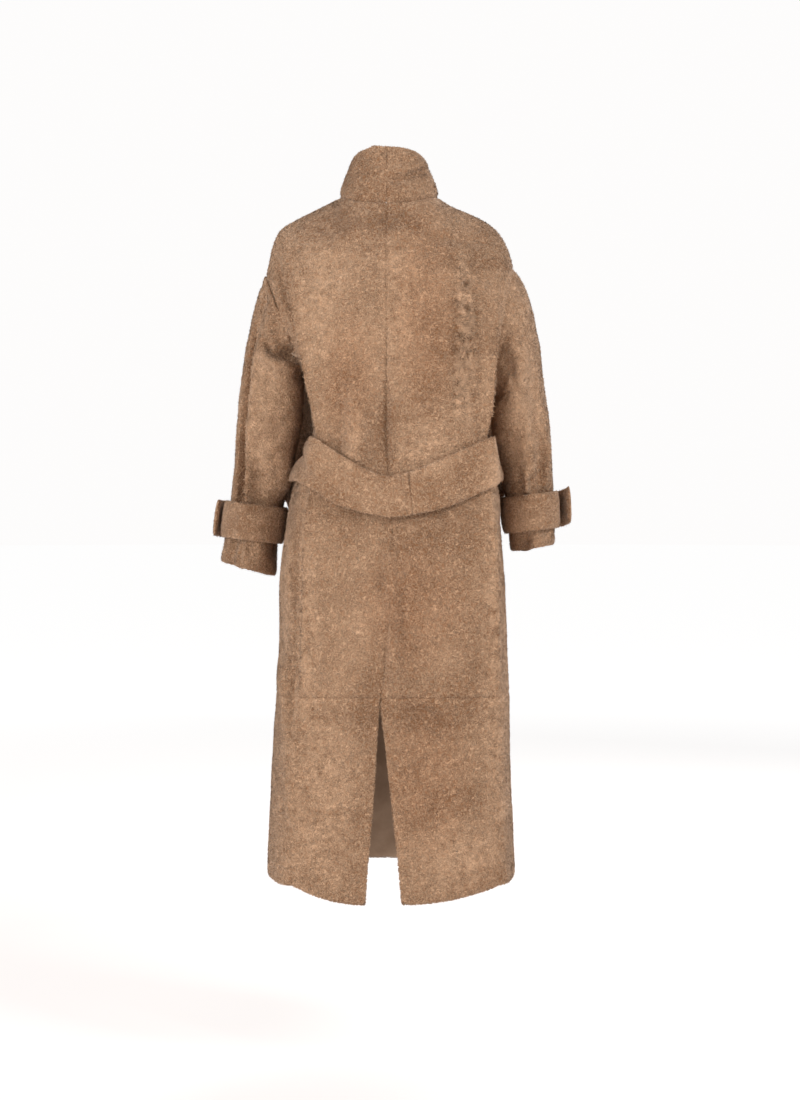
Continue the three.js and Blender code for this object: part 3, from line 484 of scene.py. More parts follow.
def back_net(side):
    """The back's coarse net of points: columns from the centre back, rows from neck to hem."""
    seam = shoulder_line(side)
    underarm = SLEEVE[side][0][3]
    net = []
    for column in range(BACK_COLUMNS + 1):
        past = max(column - RIDGE_COLUMN, 0)
        near = min(column, RIDGE_COLUMN)
        share = TURN_SHARES[past]
        t = clamp((near - NECK_STEPS) / RIDGE_STEP)
        n = clamp(near / NECK_STEPS)
        top = neck_point(side, n) if near < NECK_STEPS else seam[near - NECK_STEPS]
        low = back_point(side, RIDGE_SHARES[near], float(CHEST_Z))[0]
        low[2] = mix(CHEST_Z, underarm, clamp(RIDGE_SHARES[near] / 2) ** 2)
        out = mix(mix(np.array(NECK_FALL), np.array(TIP_FALL), n**2), np.array(FOLD_FALL[side]), t)
        aside, above = FOLD_CHEST_FALL[side]
        up = point(OUT[side] * aside * t, 0, mix(CHEST_FALL, above, t))
        curve = fall(top, out * (OUT[side], 1, 1), up, low)
        even = 1 - (near / RIDGE_COLUMN) ** 2
        made = []
        for degrees in BACK_ANGLES:
            p = curve(level_beside(side, degrees, top[2], low[2], even))
            if past:
                here = seam[column - NECK_STEPS]
                straight = mix(top, armhole_point(side, 0), share)
                down = (top[2] - p[2]) / (top[2] - low[2])
                p = mix(p, armhole_point(side, degrees), share) + (here - straight) * (1 - down) ** 2
                dent = BODY[side][0][6] * bump(share - DENT["at"], DENT["wide"])
                dent = dent * smooth(down / DENT_GROWS)
                hollow = HOLLOW * math.sin(math.pi * share) * down**2
                inward = dent * DENT["aside"] + hollow
                p = p + point(-OUT[side] * inward, -dent * DENT["inward"], 0)
            made.append(p)
        along = 1 + share if past else RIDGE_SHARES[near]
        for z in levels(side, clamp(along / 2), HEM_Z["back"]):
            made.append(back_point(side, along, float(z))[0])
        net.append(made)
    return np.array(net)


# %% The front's net


def front_net(side):
    """The front's coarse net: columns from armhole and side seam to the front edge."""
    seam = shoulder_line(side)
    underarm = SLEEVE[side][0][3]
    up = point(0, 0, FRONT_FALL["chest"])

    def chest(share):
        low = front_point(side, np.float64(share), float(CHEST_Z))[0]
        low[2] = mix(underarm, CHEST_Z, clamp(share) ** 2)
        return low

    tip = fall(seam[-1], point(0, *FRONT_FALL["end"]), up, chest(0))
    net = []
    for column in range(FRONT_COLUMNS + 1):
        share = 1 + PAST_FRONT if column > CF_COLUMN else column / CF_COLUMN
        t = clamp((column - SEAM_STEPS) / NECK_STEPS)
        over = LAP_GAP + TUCK if side == "right" and share > 1 else 0
        top = neck_point(side, 1 + t)
        if column <= SEAM_STEPS:
            top = seam[SEAM_STEPS - column]
        elif share > 1:
            top = top + point(-OUT[side] * OVERLAP, tuck(side, share) - over, -4)
        shoulder, neck = FRONT_FALL["shoulder"], FRONT_FALL["neck"]
        out = point(0, mix(shoulder[0], neck[0], t) - over, mix(shoulder[1], neck[1], t))
        low = chest(share)
        curve = fall(top, out, up, low)
        made = []
        for i in range(ARM_ROWS + 1):
            degrees = 180 * i / ARM_ROWS
            hole = armhole_point(side, 360 - degrees)
            p = curve(level_beside(side, degrees, top[2], low[2], clamp(column / 8)))
            made.append(p + (hole - tip(hole[2])) * clamp(1 - column / 6))
        for z in levels(side, clamp(1 - share), HEM_Z["front"]):
            made.append(front_point(side, np.float64(share), float(z))[0])
        net.append(made)
    return np.array(net)


# %% The collar's net, and all of them
COLLAR_ROWS = 6
COLLAR_DROP = 1.3  # how late the collar's height changes on its way to the side
COLLAR_AIM = 0.9  # it leans inward a little more across than along
BULGE_LOW = 0.8  # under 1 the collar is fullest below its middle


def collar_net(side):
    """Half the collar from the centre back to the centre front, from its top edge to the neck."""
    net = []
    for column in range(2 * NECK_STEPS + 1):
        share = column / NECK_STEPS
        base = neck_point(side, share)
        turn = share * math.pi / 2
        to_middle = abs(math.cos(turn))
        middle_rise = COLLAR["back"] if share <= 1 else COLLAR["front"]
        rise = mix(COLLAR["side"], middle_rise, to_middle**COLLAR_DROP)
        inward = unit(point(-base[0], -base[1] * COLLAR_AIM, 0))
        lean = mix(COLLAR["leanSide"], COLLAR["leanBack"], to_middle)
        spread = OUT[side] * COLLAR_SPREAD * max(0, 2 * share - 3)
        made = []
        for i in range(COLLAR_ROWS + 1):
            up = 1 - i / COLLAR_ROWS
            bulge = COLLAR_BULGE * math.sin(math.pi * up**BULGE_LOW)
            bent = lean * up ** COLLAR["curve"] - bulge
            made.append(base + inward * bent + point(spread * up, 0, rise * up))
        net.append(made)
    return np.array(net)


nets = {}
for side in SIDES:
    nets[side] = {"back": back_net(side), "front": front_net(side), "collar": collar_net(side)}
print("back net", nets["left"]["back"].shape, "front net", nets["left"]["front"].shape)

# %% [markdown]
# ## Fine grids from coarse nets
#
# A spline through the net, first across and then down, gives a grid with a point every few
# millimetres. Beside an edge the points are closer, because the edge is where the wall turns
# over. The distance of every point from each edge is kept: seams and rounded rims need it.

# %% Grids
CELL = 6.2
COLLAR_CELL = 3.4  # the collar has the finest creases
NEAR_EDGE = (0.5, 1.2, 2.1, 3.2)
BACKED = {"free": 1.6, "seam": 0.03}  # how far a grid stops short of its edge


def places_along(net, axis, first, last, cell=CELL):
    """Places between a net's rows, about a cell apart and closer beside its two edges."""
    lengths = np.linalg.norm(np.diff(net, axis=axis), axis=-1).mean(axis=1 - axis)
    found = [np.arange(n) / n + i for i, n in enumerate(np.maximum(1, np.round(lengths / cell)))]
    found = np.concatenate(found + [[len(lengths)]])
    if first is None:
        return found[:-1]
    start, end = BACKED[first] / lengths[0], len(lengths) - BACKED[last] / lengths[-1]
    room = NEAR_EDGE[-1] + 1.5
    inner = found[(found > start + room / lengths[0]) & (found < end - room / lengths[-1])]
    head = start + np.array((0,) + NEAR_EDGE) / lengths[0]
    tail = end - np.array((0,) + NEAR_EDGE) / lengths[-1]
    return np.concatenate([head, inner, tail[::-1]])


def grid_normals(grid, middle, closed=False):
    if closed:
        ring = np.concatenate([grid[-1:], grid, grid[:1]])
        across = np.gradient(ring, axis=0)[1:-1]
    else:
        across = np.gradient(grid, axis=0)
    normals = unit(np.cross(across, np.gradient(grid, axis=1)))
    return normals * (1 if ((grid - middle) * normals).sum() > 0 else -1)


def from_edges(grid):
    """How far each point is from the first and last column and the top and bottom row."""
    found = {}
    for axis, first, last in ((0, "first", "last"), (1, "top", "bottom")):
        gaps = np.linalg.norm(np.diff(grid, axis=axis), axis=-1)
        start = np.insert(gaps, 0, 0, axis=axis).cumsum(axis=axis)
        found[first], found[last] = start, np.take(start, [-1], axis=axis) - start
    return found


# %% [markdown]
# ## Creases listed one by one
#
# Heavy skin doesn't crumple: it makes a few soft, uneven troughs and ridges. Each is a short line
# in the plane of the back, with a width, a height that is negative for a trough, and the cloth is
# pushed along its own normal. Lines with facing -1 lie on the coat's front.

# %% Creases
# points as x and z from start to end, half width, height, all in millimetres
BACK_CREASES = [
    ([(10, -250), (9, -340), (8, -400), (6, -490)], 9, -2.6),
    ([(14, -330), (17, -410), (12, -495)], 22, -5),
    ([(62, -345), (56, -420), (66, -490)], 22, 5.5),
    ([(88, -330), (84, -400), (92, -470)], 14, -3.5),
    ([(74, -288), (68, -330)], 5, -2.2),
    ([(-66, -80), (-120, -88), (-182, -84)], 8, -2.4),
    ([(16, -44), (-30, -48)], 22, -2.5),
    ([(44, -62), (96, -92), (120, -128)], 16, 2),
    ([(-100, -395), (-140, -445), (-158, -470)], 20, 4.5),
    ([(-62, -380), (-70, -450)], 16, -3),
    ([(-128, -150), (-122, -250), (-130, -370)], 16, 2.2),
    ([(-24, -888), (-60, -903), (-108, -955)], 15, -4.5),
    ([(-20, -900), (-40, -1000)], 12, 2),
    ([(1, -600), (3, -640), (-2, -720), (-6, -800), (-10, -880)], 8, 4),
    ([(-15, -620), (-18, -720), (-24, -820)], 9, -3),
    ([(160, -570), (162, -700), (165, -790), (166, -868)], 12, -3),
    ([(14, -630), (14, -720), (20, -800), (27, -880)], 14, -3.2),
    ([(190, -822), (173, -915), (169, -1033), (162, -1100)], 11, 5),
    ([(176, -700), (186, -830)], 12, -4),
    ([(110, -600), (104, -760), (112, -860)], 24, 3),
    ([(76, -610), (70, -740)], 18, -2.5),
    ([(-96, -600), (-90, -700), (-98, -860)], 26, -2.5),
    ([(-150, -640), (-146, -800), (-150, -1000), (-154, -1180)], 24, 2.6),
    ([(90, -960), (86, -1080), (96, -1200)], 26, -3),
    ([(-80, -1010), (-88, -1120), (-84, -1210)], 28, -3),
    ([(-176, -1130), (-196, -1200)], 14, 3),
    ([(-178, -560), (-180, -700), (-184, -860)], 9, 3.5),
    ([(-196, -560), (-198, -700), (-202, -860)], 9, -4),
]
FRONT_CREASES = [
    ([(60, -120), (96, -220), (120, -330)], 16, -4),
    ([(-70, -110), (-104, -230), (-120, -320)], 18, -4),
    ([(110, -470), (70, -560), (84, -700)], 20, -5),
    ([(-112, -480), (-90, -570), (-98, -690)], 22, -5),
    ([(24, -420), (32, -560), (26, -720)], 18, -3),
    ([(-52, -380), (-60, -520)], 20, 3),
    ([(60, -800), (66, -1000), (58, -1180)], 26, 3.5),
    ([(-80, -830), (-76, -1010), (-84, -1190)], 26, 3.5),
    ([(140, -700), (134, -900), (142, -1100)], 24, -3.5),
    ([(-146, -690), (-142, -880), (-150, -1090)], 24, -3.5),
]
COLLAR_CREASES = [
    ([(4, 20), (-20, 20), (-46, 31), (-70, 42)], 5.5, -6),
    ([(0, 34), (-26, 34), (-48, 44), (-66, 54)], 8, 3.6),
    ([(10, 66), (30, 88)], 12, 2.5),
    ([(34, 20), (60, 34), (76, 30)], 10, -2.5),
    ([(-20, 60), (-50, 62)], 12, 2.2),
]
SLEEVE_CREASES = {
    "left": [
        ([(224, -262), (206, -278), (176, -287), (150, -292)], 8, -8.5),
        ([(222, -284), (204, -298), (176, -306), (160, -310)], 9, 6),
        (
            [(228, -130), (242, -240), (249, -325), (255, -379), (261, -440), (264, -560), (267, -656)],
            7.5, -9,
        ),
        (
            [(219, -129), (233, -240), (240, -325), (246, -379), (251, -440), (254, -560), (257, -656)],
            6, 4.5,
        ),
        ([(168, -330), (174, -400), (184, -458), (191, -500), (201, -545)], 15, 5),
        ([(170, -262), (160, -276), (150, -288)], 10, -6),
        ([(166, -318), (156, -324), (152, -336)], 9, -3.5),
        ([(226, -330), (196, -350), (170, -372)], 16, -3.5),
        ([(220, -120), (200, -170), (188, -215)], 14, 4),
        ([(214, -440), (196, -470), (190, -530)], 18, 4),
        ([(236, -470), (226, -560)], 14, -4),
        ([(200, -600), (192, -650)], 13, -4),
        ([(232, -600), (226, -655)], 12, 3),
    ],
    "right": [
        ([(-200, -292), (-212, -318), (-218, -338)], 7, -4.5),
        ([(-178, -352), (-192, -356), (-206, -364)], 14, -4.5),
        ([(-204, -260), (-226, -284), (-240, -330)], 18, 3),
        ([(-279, -432), (-277, -480), (-272, -524)], 6, 4.5),
        ([(-268, -430), (-266, -520)], 9, -3),
        ([(-238, -486), (-240, -505), (-244, -530)], 8, 5.5),
        ([(-230, -486), (-231, -528)], 6, -5),
        ([(-250, -495), (-252, -530)], 7, -4),
        ([(-234, -598), (-238, -625)], 12, -6),
        ([(-222, -430), (-214, -480)], 16, -3),
        ([(-262, -300), (-270, -380)], 18, -3),
    ],
}
BELT_CREASES = [
    ([(152, -450), (138, -478), (128, -512)], 8, -4),
    ([(-30, -492), (-31, -568)], 4, -1.6),
    ([(90, -480), (84, -530)], 18, -2),
    ([(-104, -500), (-100, -540)], 20, 2),
]
print("creases on the back:", len(BACK_CREASES), "and on the front:", len(FRONT_CREASES))

# %% Pushing the cloth
CREASES_STAND = 1.8  # how strongly all of them show
CREASE_ENDS = 0.25  # the share of its length over which a crease fades out


def relief(grid, normals, creases, facing=1):
    """How far the creases push each point of a grid out along its normal."""
    plane = grid[..., [0, 2]]
    shown = smooth(facing * normals[..., 1] / 0.25 + 0.35)
    height = np.zeros(grid.shape[:-1])
    for points, wide, high in creases:
        points = np.array(points, float)
        path = spline(points, np.linspace(0, len(points) - 1, 6 * len(points)))
        away = np.full(height.shape, 1e9)
        along = np.zeros(height.shape)
        total = len(path) - 1
        for k in range(total):
            a, b = path[k], path[k + 1]
            t = np.clip(((plane - a) @ (b - a)) / ((b - a) @ (b - a)), 0, 1)
            gap = np.linalg.norm(plane - a - t[..., None] * (b - a), axis=-1)
            nearer = gap < away
            away = np.where(nearer, gap, away)
            along = np.where(nearer, (k + t) / total, along)
        ends = smooth(along / CREASE_ENDS + 0.25) * smooth((1 - along) / CREASE_ENDS + 0.25)
        height += CREASES_STAND * high * ends * bump(away, wide)
    return height * shown


def ripple(grid, size, seed):
    """Smooth uneven numbers from -1 to 1 over a grid, in waves about size millimetres long."""
    random = np.random.default_rng(seed)
    total = np.zeros(grid.shape[:-1])
    for _ in range(9):
        way = unit(random.normal(size=3)) * 2 * math.pi / (size * random.uniform(0.7, 1.5))
        total += np.sin(grid @ way + random.uniform(0, 6.28))
    return total / 4


# %% [markdown]
# ## The panels
#
# The coat has two backs, two back skirts below the yoke seam, two fronts, two sleeves and two
# collar halves. All grids are made first. Then points of different panels that lie at one place
# get one common normal, so that two walls meet face to face in the seam and leave no slit.

# %% Grids of the panels
TORSO = (0, 0, -300)
NECK_MIDDLE = (0, 0, 40)
SLEEVE_NET_ROWS = 18
SLEEVE_SPACING = 1.12  # the sleeve's rows lie a little closer at the armhole
SLEEVE_AROUND = 120
RIPPLE_HIGH = 0.8
PANEL_RIPPLE = 75
SLEEVE_RIPPLE = 60
panels = {}


def add_panel(name, net, middle, edges, creases, facing=1, cell=CELL):
    us = places_along(net, 0, edges["first"], edges["last"], cell)
    vs = places_along(net, 1, edges["top"], edges["bottom"], cell)
    grid = spline(spline(net, us).swapaxes(0, 1), vs).swapaxes(0, 1)
    normals = grid_normals(grid, middle)
    height = relief(grid, normals, creases, facing) + RIPPLE_HIGH * ripple(grid, PANEL_RIPPLE, len(name))
    grid = grid + normals * height[..., None]
    normals = grid_normals(grid, middle)
    panels[name] = {"grid": grid, "normals": normals, "edges": edges, "closed": False}


def add_sleeve(side):
    rows = (np.arange(SLEEVE_NET_ROWS + 1) / SLEEVE_NET_ROWS) ** SLEEVE_SPACING
    turns = np.arange(SLEEVE_AROUND) * 360 / SLEEVE_AROUND
    net = sleeve_point(side, rows[None, :], turns[:, None])
    places = places_along(net, 1, "seam", "free")
    along = (places / SLEEVE_NET_ROWS) ** SLEEVE_SPACING
    grid = sleeve_point(side, along[None, :], turns[:, None])
    middle = grid.mean(axis=0, keepdims=True)
    normals = grid_normals(grid, middle, True)
    height = relief(grid, normals, SLEEVE_CREASES[side])
    height = height + RIPPLE_HIGH * ripple(grid, SLEEVE_RIPPLE, len(side))
    grid = grid + normals * height[..., None]
    normals = grid_normals(grid, middle, True)
    edges = {"top": "seam", "bottom": "free"}
    panels[f"sleeve_{side}"] = {"grid": grid, "normals": normals, "edges": edges, "closed": True}


for side in SIDES:
    back, front, collar = (nets[side][key] for key in ("back", "front", "collar"))
    sewn = {"first": "seam", "last": "seam", "top": "seam", "bottom": "seam"}
    add_panel(f"back_{side}", back[:, : YOKE_ROW + 1], TORSO, sewn, BACK_CREASES)
    hem = {"first": "free", "last": "seam", "top": "seam", "bottom": "free"}
    add_panel(f"back_skirt_{side}", back[:, YOKE_ROW:], TORSO, hem, BACK_CREASES)
    lap = {"first": "seam", "last": "free", "top": "seam", "bottom": "free"}
    add_panel(f"front_{side}", front, TORSO, lap, FRONT_CREASES, -1)
    stand = {"first": "seam", "last": "free", "top": "free", "bottom": "seam"}
    add_panel(f"collar_{side}", collar, NECK_MIDDLE, stand, COLLAR_CREASES, cell=COLLAR_CELL)
    add_sleeve(side)
print("grids:", {name: panel["grid"].shape[:2] for name, panel in panels.items()})

# %% Common normals at the seams
WELD_REACH = 9
EDGE_AT = {
    "first": (0, slice(None)),
    "last": (-1, slice(None)),
    "top": (slice(None), 0),
    "bottom": (slice(None), -1),
}
seam_points = []
for name, panel in panels.items():
    for edge, kind in panel["edges"].items():
        if kind == "seam":
            at = EDGE_AT[edge]
            for p, n in zip(panel["grid"][at], panel["normals"][at]):
                seam_points.append((name, p, n))
seam_places = np.array([p for _, p, _ in seam_points])
seam_normals = np.array([n for _, _, n in seam_points])
seam_names = np.array([name for name, _, _ in seam_points])


def common_normals(name, points, normals):
    """The mean of a seam's own normals and those of the other panels' points beside it."""
    others = seam_names != name
    places, found = seam_places[others], seam_normals[others]
    made = []
    for p, n in zip(points, normals):
        gaps = np.linalg.norm(places - p, axis=1)
        k = gaps.argmin()
        made.append(n + found[k] if gaps[k] < WELD_REACH else n)
    return unit(np.array(made))


for name, panel in panels.items():
    panel["away"] = from_edges(panel["grid"])
    welded = panel["normals"]
    for edge, kind in panel["edges"].items():
        if kind == "seam":
            at = EDGE_AT[edge]
            common = common_normals(name, panel["grid"][at], panel["normals"][at])
            common = common[None] if edge in ("first", "last") else common[:, None]
            near = bump(panel["away"][edge], WELD_REACH)[..., None]
            welded = unit(mix(welded, common, near))
    panel["welded"] = welded
print("points on seams:", len(seam_points))

# %% [markdown]
# ## Shells
#
# A shell is the panel's outer grid, its inner grid a wall's thickness behind, and the rims. At a
# free edge, such as the hem, both grids curve together into a round rim, because the skin is cut
# bare and the wool closes over it. At a seam the wool dips into a narrow groove, and a straight
# rim faces the next panel. The ground of the wool lies a little under the solid's surface, so
# that the tips of the locks reach just past it.

# %% Meshes
GROUND = 2.0  # how far the wool's ground lies under the tips
RIM_REACH = 8  # how far in from a free edge its rounding starts
SEAM_DEPTH = 2.2
SEAM_WIDE = 3.4
MAP_EDGE = 0.01  # left free round each bake map


def mesh_object(name, points, faces, slots, loops_uv):
    """A smooth mesh in metres with its bake map. slots has one material number for each face."""
    mesh = bpy.data.meshes.new(name)
    mesh.from_pydata((points * MM).tolist(), [], faces)
    mesh.polygons.foreach_set("material_index", np.array(slots, np.int32))
    mesh.polygons.foreach_set("use_smooth", np.ones(len(faces), bool))
    layer = mesh.uv_layers.new(name="OFBake")
    layer.data.foreach_set("uv", np.asarray(loops_uv, np.float32).ravel())
    mesh.update()
    made = bpy.data.objects.new(name, mesh)
    bpy.context.scene.collection.objects.link(made)
    return made


def grid_quads(index, flip):
    """Quads of a grid of vertex numbers, turned round if flip."""
    a, b, c, d = index[:-1, :-1], index[1:, :-1], index[1:, 1:], index[:-1, 1:]
    return np.stack([a, d, c, b] if flip else [a, b, c, d], -1).reshape(-1, 4)


# %% Making a shell


def add_shell(name):
    """Makes a panel's shell, with wool outside (slot 0) and suede inside (slot 1)."""
    panel = panels[name]
    grid, normals, away, edges = (panel[key] for key in ("grid", "welded", "away", "edges"))
    radius = (WALL - GROUND) / 2  # of the rim at a free edge
    within = np.zeros(grid.shape[:-1])
    groove = np.zeros(grid.shape[:-1])
    for edge, kind in edges.items():
        if kind == "free":
            within += np.clip(1 - away[edge] / RIM_REACH, 0, None) ** 2
        else:
            groove = np.maximum(groove, SEAM_DEPTH * bump(away[edge], SEAM_WIDE))
    turned = radius * (1 - np.sqrt(np.clip(1 - within, 0, None)))
    outer = grid - normals * (GROUND + np.maximum(turned, groove))[..., None]
    inner = grid - normals * (WALL - turned)[..., None]
    wide, long = grid.shape[:2]
    outside = np.arange(wide * long).reshape(wide, long)
    inside = outside + wide * long
    for edge, kind in edges.items():
        if kind == "free":
            inside[EDGE_AT[edge]] = outside[EDGE_AT[edge]]
    if panel["closed"]:
        outside = np.concatenate([outside, outside[:1]])
        inside = np.concatenate([inside, inside[:1]])
    facing = np.cross(outer[1, 1] - outer[0, 1], outer[0, 2] - outer[0, 1]) @ normals[0, 1]
    flip = bool(facing < 0)
    top, under = grid_quads(outside, flip), grid_quads(inside, not flip)
    rims = []
    for edge, kind in edges.items():
        if kind != "seam":
            continue
        a, b = outside[EDGE_AT[edge]], inside[EDGE_AT[edge]]
        forward = (edge in ("last", "top")) != flip
        for k in range(len(a) - 1):
            quad = [a[k + 1], a[k], b[k], b[k + 1]] if forward else [a[k], a[k + 1], b[k + 1], b[k]]
            quad = list(dict.fromkeys(int(c) for c in quad))
            if len(quad) > 2:
                rims.append(quad)
    # The map: the outer grid on the left half, the inner grid on the right half
    ring = outside.shape[0]
    u, v = np.meshgrid(np.linspace(0, 1, ring), np.linspace(0, 1, long), indexing="ij")
    flat = np.stack([MAP_EDGE + (0.5 - 2 * MAP_EDGE) * u, MAP_EDGE + (1 - 2 * MAP_EDGE) * v], -1)
    numbers = np.arange(ring * long).reshape(ring, long)
    flat_list = flat.reshape(-1, 2)
    top_uv = flat_list[grid_quads(numbers, flip)].reshape(-1, 2)
    under_uv = flat_list[grid_quads(numbers, not flip)].reshape(-1, 2) + (0.5, 0)
    rim_uv = flat_list[[c % (wide * long) for quad in rims for c in quad]].reshape(-1, 2)
    faces = top.tolist() + under.tolist() + rims
    slots = [0] * len(top) + [1] * len(under) + [0] * len(rims)
    points = np.concatenate([outer.reshape(-1, 3), inner.reshape(-1, 3)])
    panel["outer"], panel["uv"] = outer, flat
    panel["edge_ways"] = [away[edge] for edge in edges]
    loops_uv = np.concatenate([top_uv, under_uv, rim_uv])
    panel["object"] = mesh_object("shell_" + name, points, faces, slots, loops_uv)
    used = np.zeros(len(points), bool)
    used[np.concatenate([outside.ravel(), inside.ravel()])] = True
    drop_unused(panel["object"], used)


def drop_unused(piece, used):
    """Deletes the inner points that a free rim shares with the outer ones."""
    bm = bmesh.new()
    bm.from_mesh(piece.data)
    bm.verts.ensure_lookup_table()
    bmesh.ops.delete(bm, geom=[v for v, keep in zip(bm.verts, used) if not keep], context="VERTS")
    bm.to_mesh(piece.data)
    bm.free()


triangles = {}
for name, panel in panels.items():
    add_shell(name)
    triangles[name] = sum(len(p.vertices) - 2 for p in panel["object"].data.polygons)
print("triangles in shells:", sum(triangles.values()), triangles)

# %% [markdown]
# ## Belt and cuff straps
#
# The half belt and the straps are two strips of shearling laid skin to skin, so there is wool on
# both faces, and it closes over both long edges. A band is a ring of points, a flat oval,
# carried along the cloth it lies on. Only the distance from the cloth changes on the way: the
# belt hangs loose at its middle, and the end of each strap stands off.

# %% Places along the bands
BAND_HALF = 15  # steps across a band's face
BAND_INSET = 0.02
BAND_POWER = 2.8  # over 2 its faces are flatter than an ellipse
BAND_SIDES = 0.45
BELT_RISEN = FOLD + 0.02  # where the belt has climbed all the way
BELT_BOW = 1.5
BELT_STEP = 0.02
BELT_SAMPLE = 0.1
BELT_LOOSE = {"until": 0.85, "over": 0.5}
BELT_SEWN = 0.12  # how far from its end the belt lies down on the back
STRAP_STEPS = 150
STRAP_AIM = (1.6, 0.9, 0)
STRAP_OVER = {"gap": 1.2, "from": 348, "within": 20}  # where a strap climbs over its own start
STRAP_TAB = {"from": 0.9, "over": 0.1, "bend": 1.4}  # its end, which stands off


def oval():
    """Steps round a band: how far down its face, and how full it is there, -1 on the inner face."""
    turn = np.linspace(0, math.pi, BAND_HALF + 1)
    share = (1 - np.cos(turn)) / 2
    down = mix(BAND_INSET, 1 - BAND_INSET, share)
    full = (1 - np.abs(2 * share - 1) ** BAND_POWER) ** BAND_SIDES
    return np.concatenate([down, down[-2:0:-1]]), np.concatenate([full, -full[-2:0:-1]])


def belt_point(q, down):
    """A point of the back under the belt: q runs from -1 at the right side seam to 1."""
    side = "right" if q < 0 else "left"
    share = abs(q)
    middle = BELT["middleZ"] + BELT["rise"] * clamp(share / BELT_RISEN) ** BELT_BOW
    along = share / FOLD if share < FOLD else 1 + (share - FOLD) / (1 - FOLD)
    gone = smooth((share - BELT_SLANT["until"]) / (BELT_SLANT["gone"] - BELT_SLANT["until"]))
    slant = 1 + BELT_SLANT["more"] * smooth(share / BELT_SLANT["from"]) * (1 - gone)
    return back_point(side, along, middle + BELT["height"] * slant * (0.5 - down), False)


def belt_band(places):
    """The belt's base points, normals and lifts at places along it."""
    down, _ = oval()
    within = clamp(down, BELT_SAMPLE, 1 - BELT_SAMPLE)
    base = np.array([belt_point(q, down) for q in places])
    ahead = np.array([belt_point(q + BELT_STEP, down) for q in places])
    behind = np.array([belt_point(q - BELT_STEP, down) for q in places])
    low = np.array([belt_point(q, within + BELT_SAMPLE) for q in places])
    high = np.array([belt_point(q, within - BELT_SAMPLE) for q in places])
    normals = np.cross(ahead - behind, low - high) * (1, 1, 0)
    away = np.abs(places)
    hanging = clamp((BELT_LOOSE["until"] - away) / BELT_LOOSE["over"])
    loose = mix(BELT["foldLift"], BELT["lift"], hanging)
    lifts = mix(SEAM_GAP, loose, clamp((BELT_END - away) / BELT_SEWN))
    return base, unit(normals), lifts


def stands_out(side, at, degrees, out):
    """How far the sleeve's folds lift its cloth along out at one place."""
    return (sleeve_point(side, at, degrees) - sleeve_point(side, at, degrees, False)) @ out


def strap_band(side):
    """A cuff strap's base points, normals and lifts, once round the cuff and over its own start."""
    down, _ = oval()
    outer, inner = STRAP_AT[side]
    base, normals, lifts = [], [], []
    for share in np.linspace(0, 1, STRAP_STEPS):
        degrees = STRAP["start"] + (360 + STRAP["overlap"]) * share
        within = (1 - math.cos(math.radians(degrees))) / 2
        top, bottom = mix(outer[0], inner[0], within), mix(outer[1], inner[1], within)
        upper, lower = (sleeve_point(side, at, degrees, False) for at in (top, bottom))
        half_way = (top + bottom) / 2
        outside, inside = (sleeve_point(side, half_way, turn, False) for turn in (0.0, 180.0))
        middle = (outside + inside) / 2
        out = unit(((upper + lower) / 2 - middle) * STRAP_AIM)
        fit = (STRAP["height"] / np.linalg.norm(upper - lower) - 1) / 2
        at = mix(-fit, 1 + fit, down)[:, None]
        rises = [stands_out(side, place, degrees, out) for place in (top, half_way, bottom)]
        climbed = smooth((degrees - STRAP_OVER["from"] - STRAP["start"]) / STRAP_OVER["within"])
        over = (STRAP["thick"] + STRAP_OVER["gap"]) * climbed
        tab = clamp((share - STRAP_TAB["from"]) / STRAP_TAB["over"]) ** STRAP_TAB["bend"]
        flare = STRAP_FLARE[side] * tab
        base.append(mix(upper, lower, at) + (0, 0, STRAP_RISE[side] * tab))
        normals.append(np.repeat(out[None], len(down), 0))
        lifts.append(STRAP["lift"] + max(0, *rises) + over + flare)
    return np.array(base), np.array(normals), np.array(lifts)


# %% Making a band
BAND_FULLER = 1.4  # how much fuller its middle is than the solid's
BAND_GROUND = 0.75  # the share of GROUND that it lies under the solid's faces
BAND_END_ROUND = 6
BAND_END_LEAST = 0.02
BAND_SEEN = (0, 0.4, 0)  # creases show a little also where a band turns sideways
BAND_RIPPLE = 55
BAND_RIPPLE_HIGH = 0.7


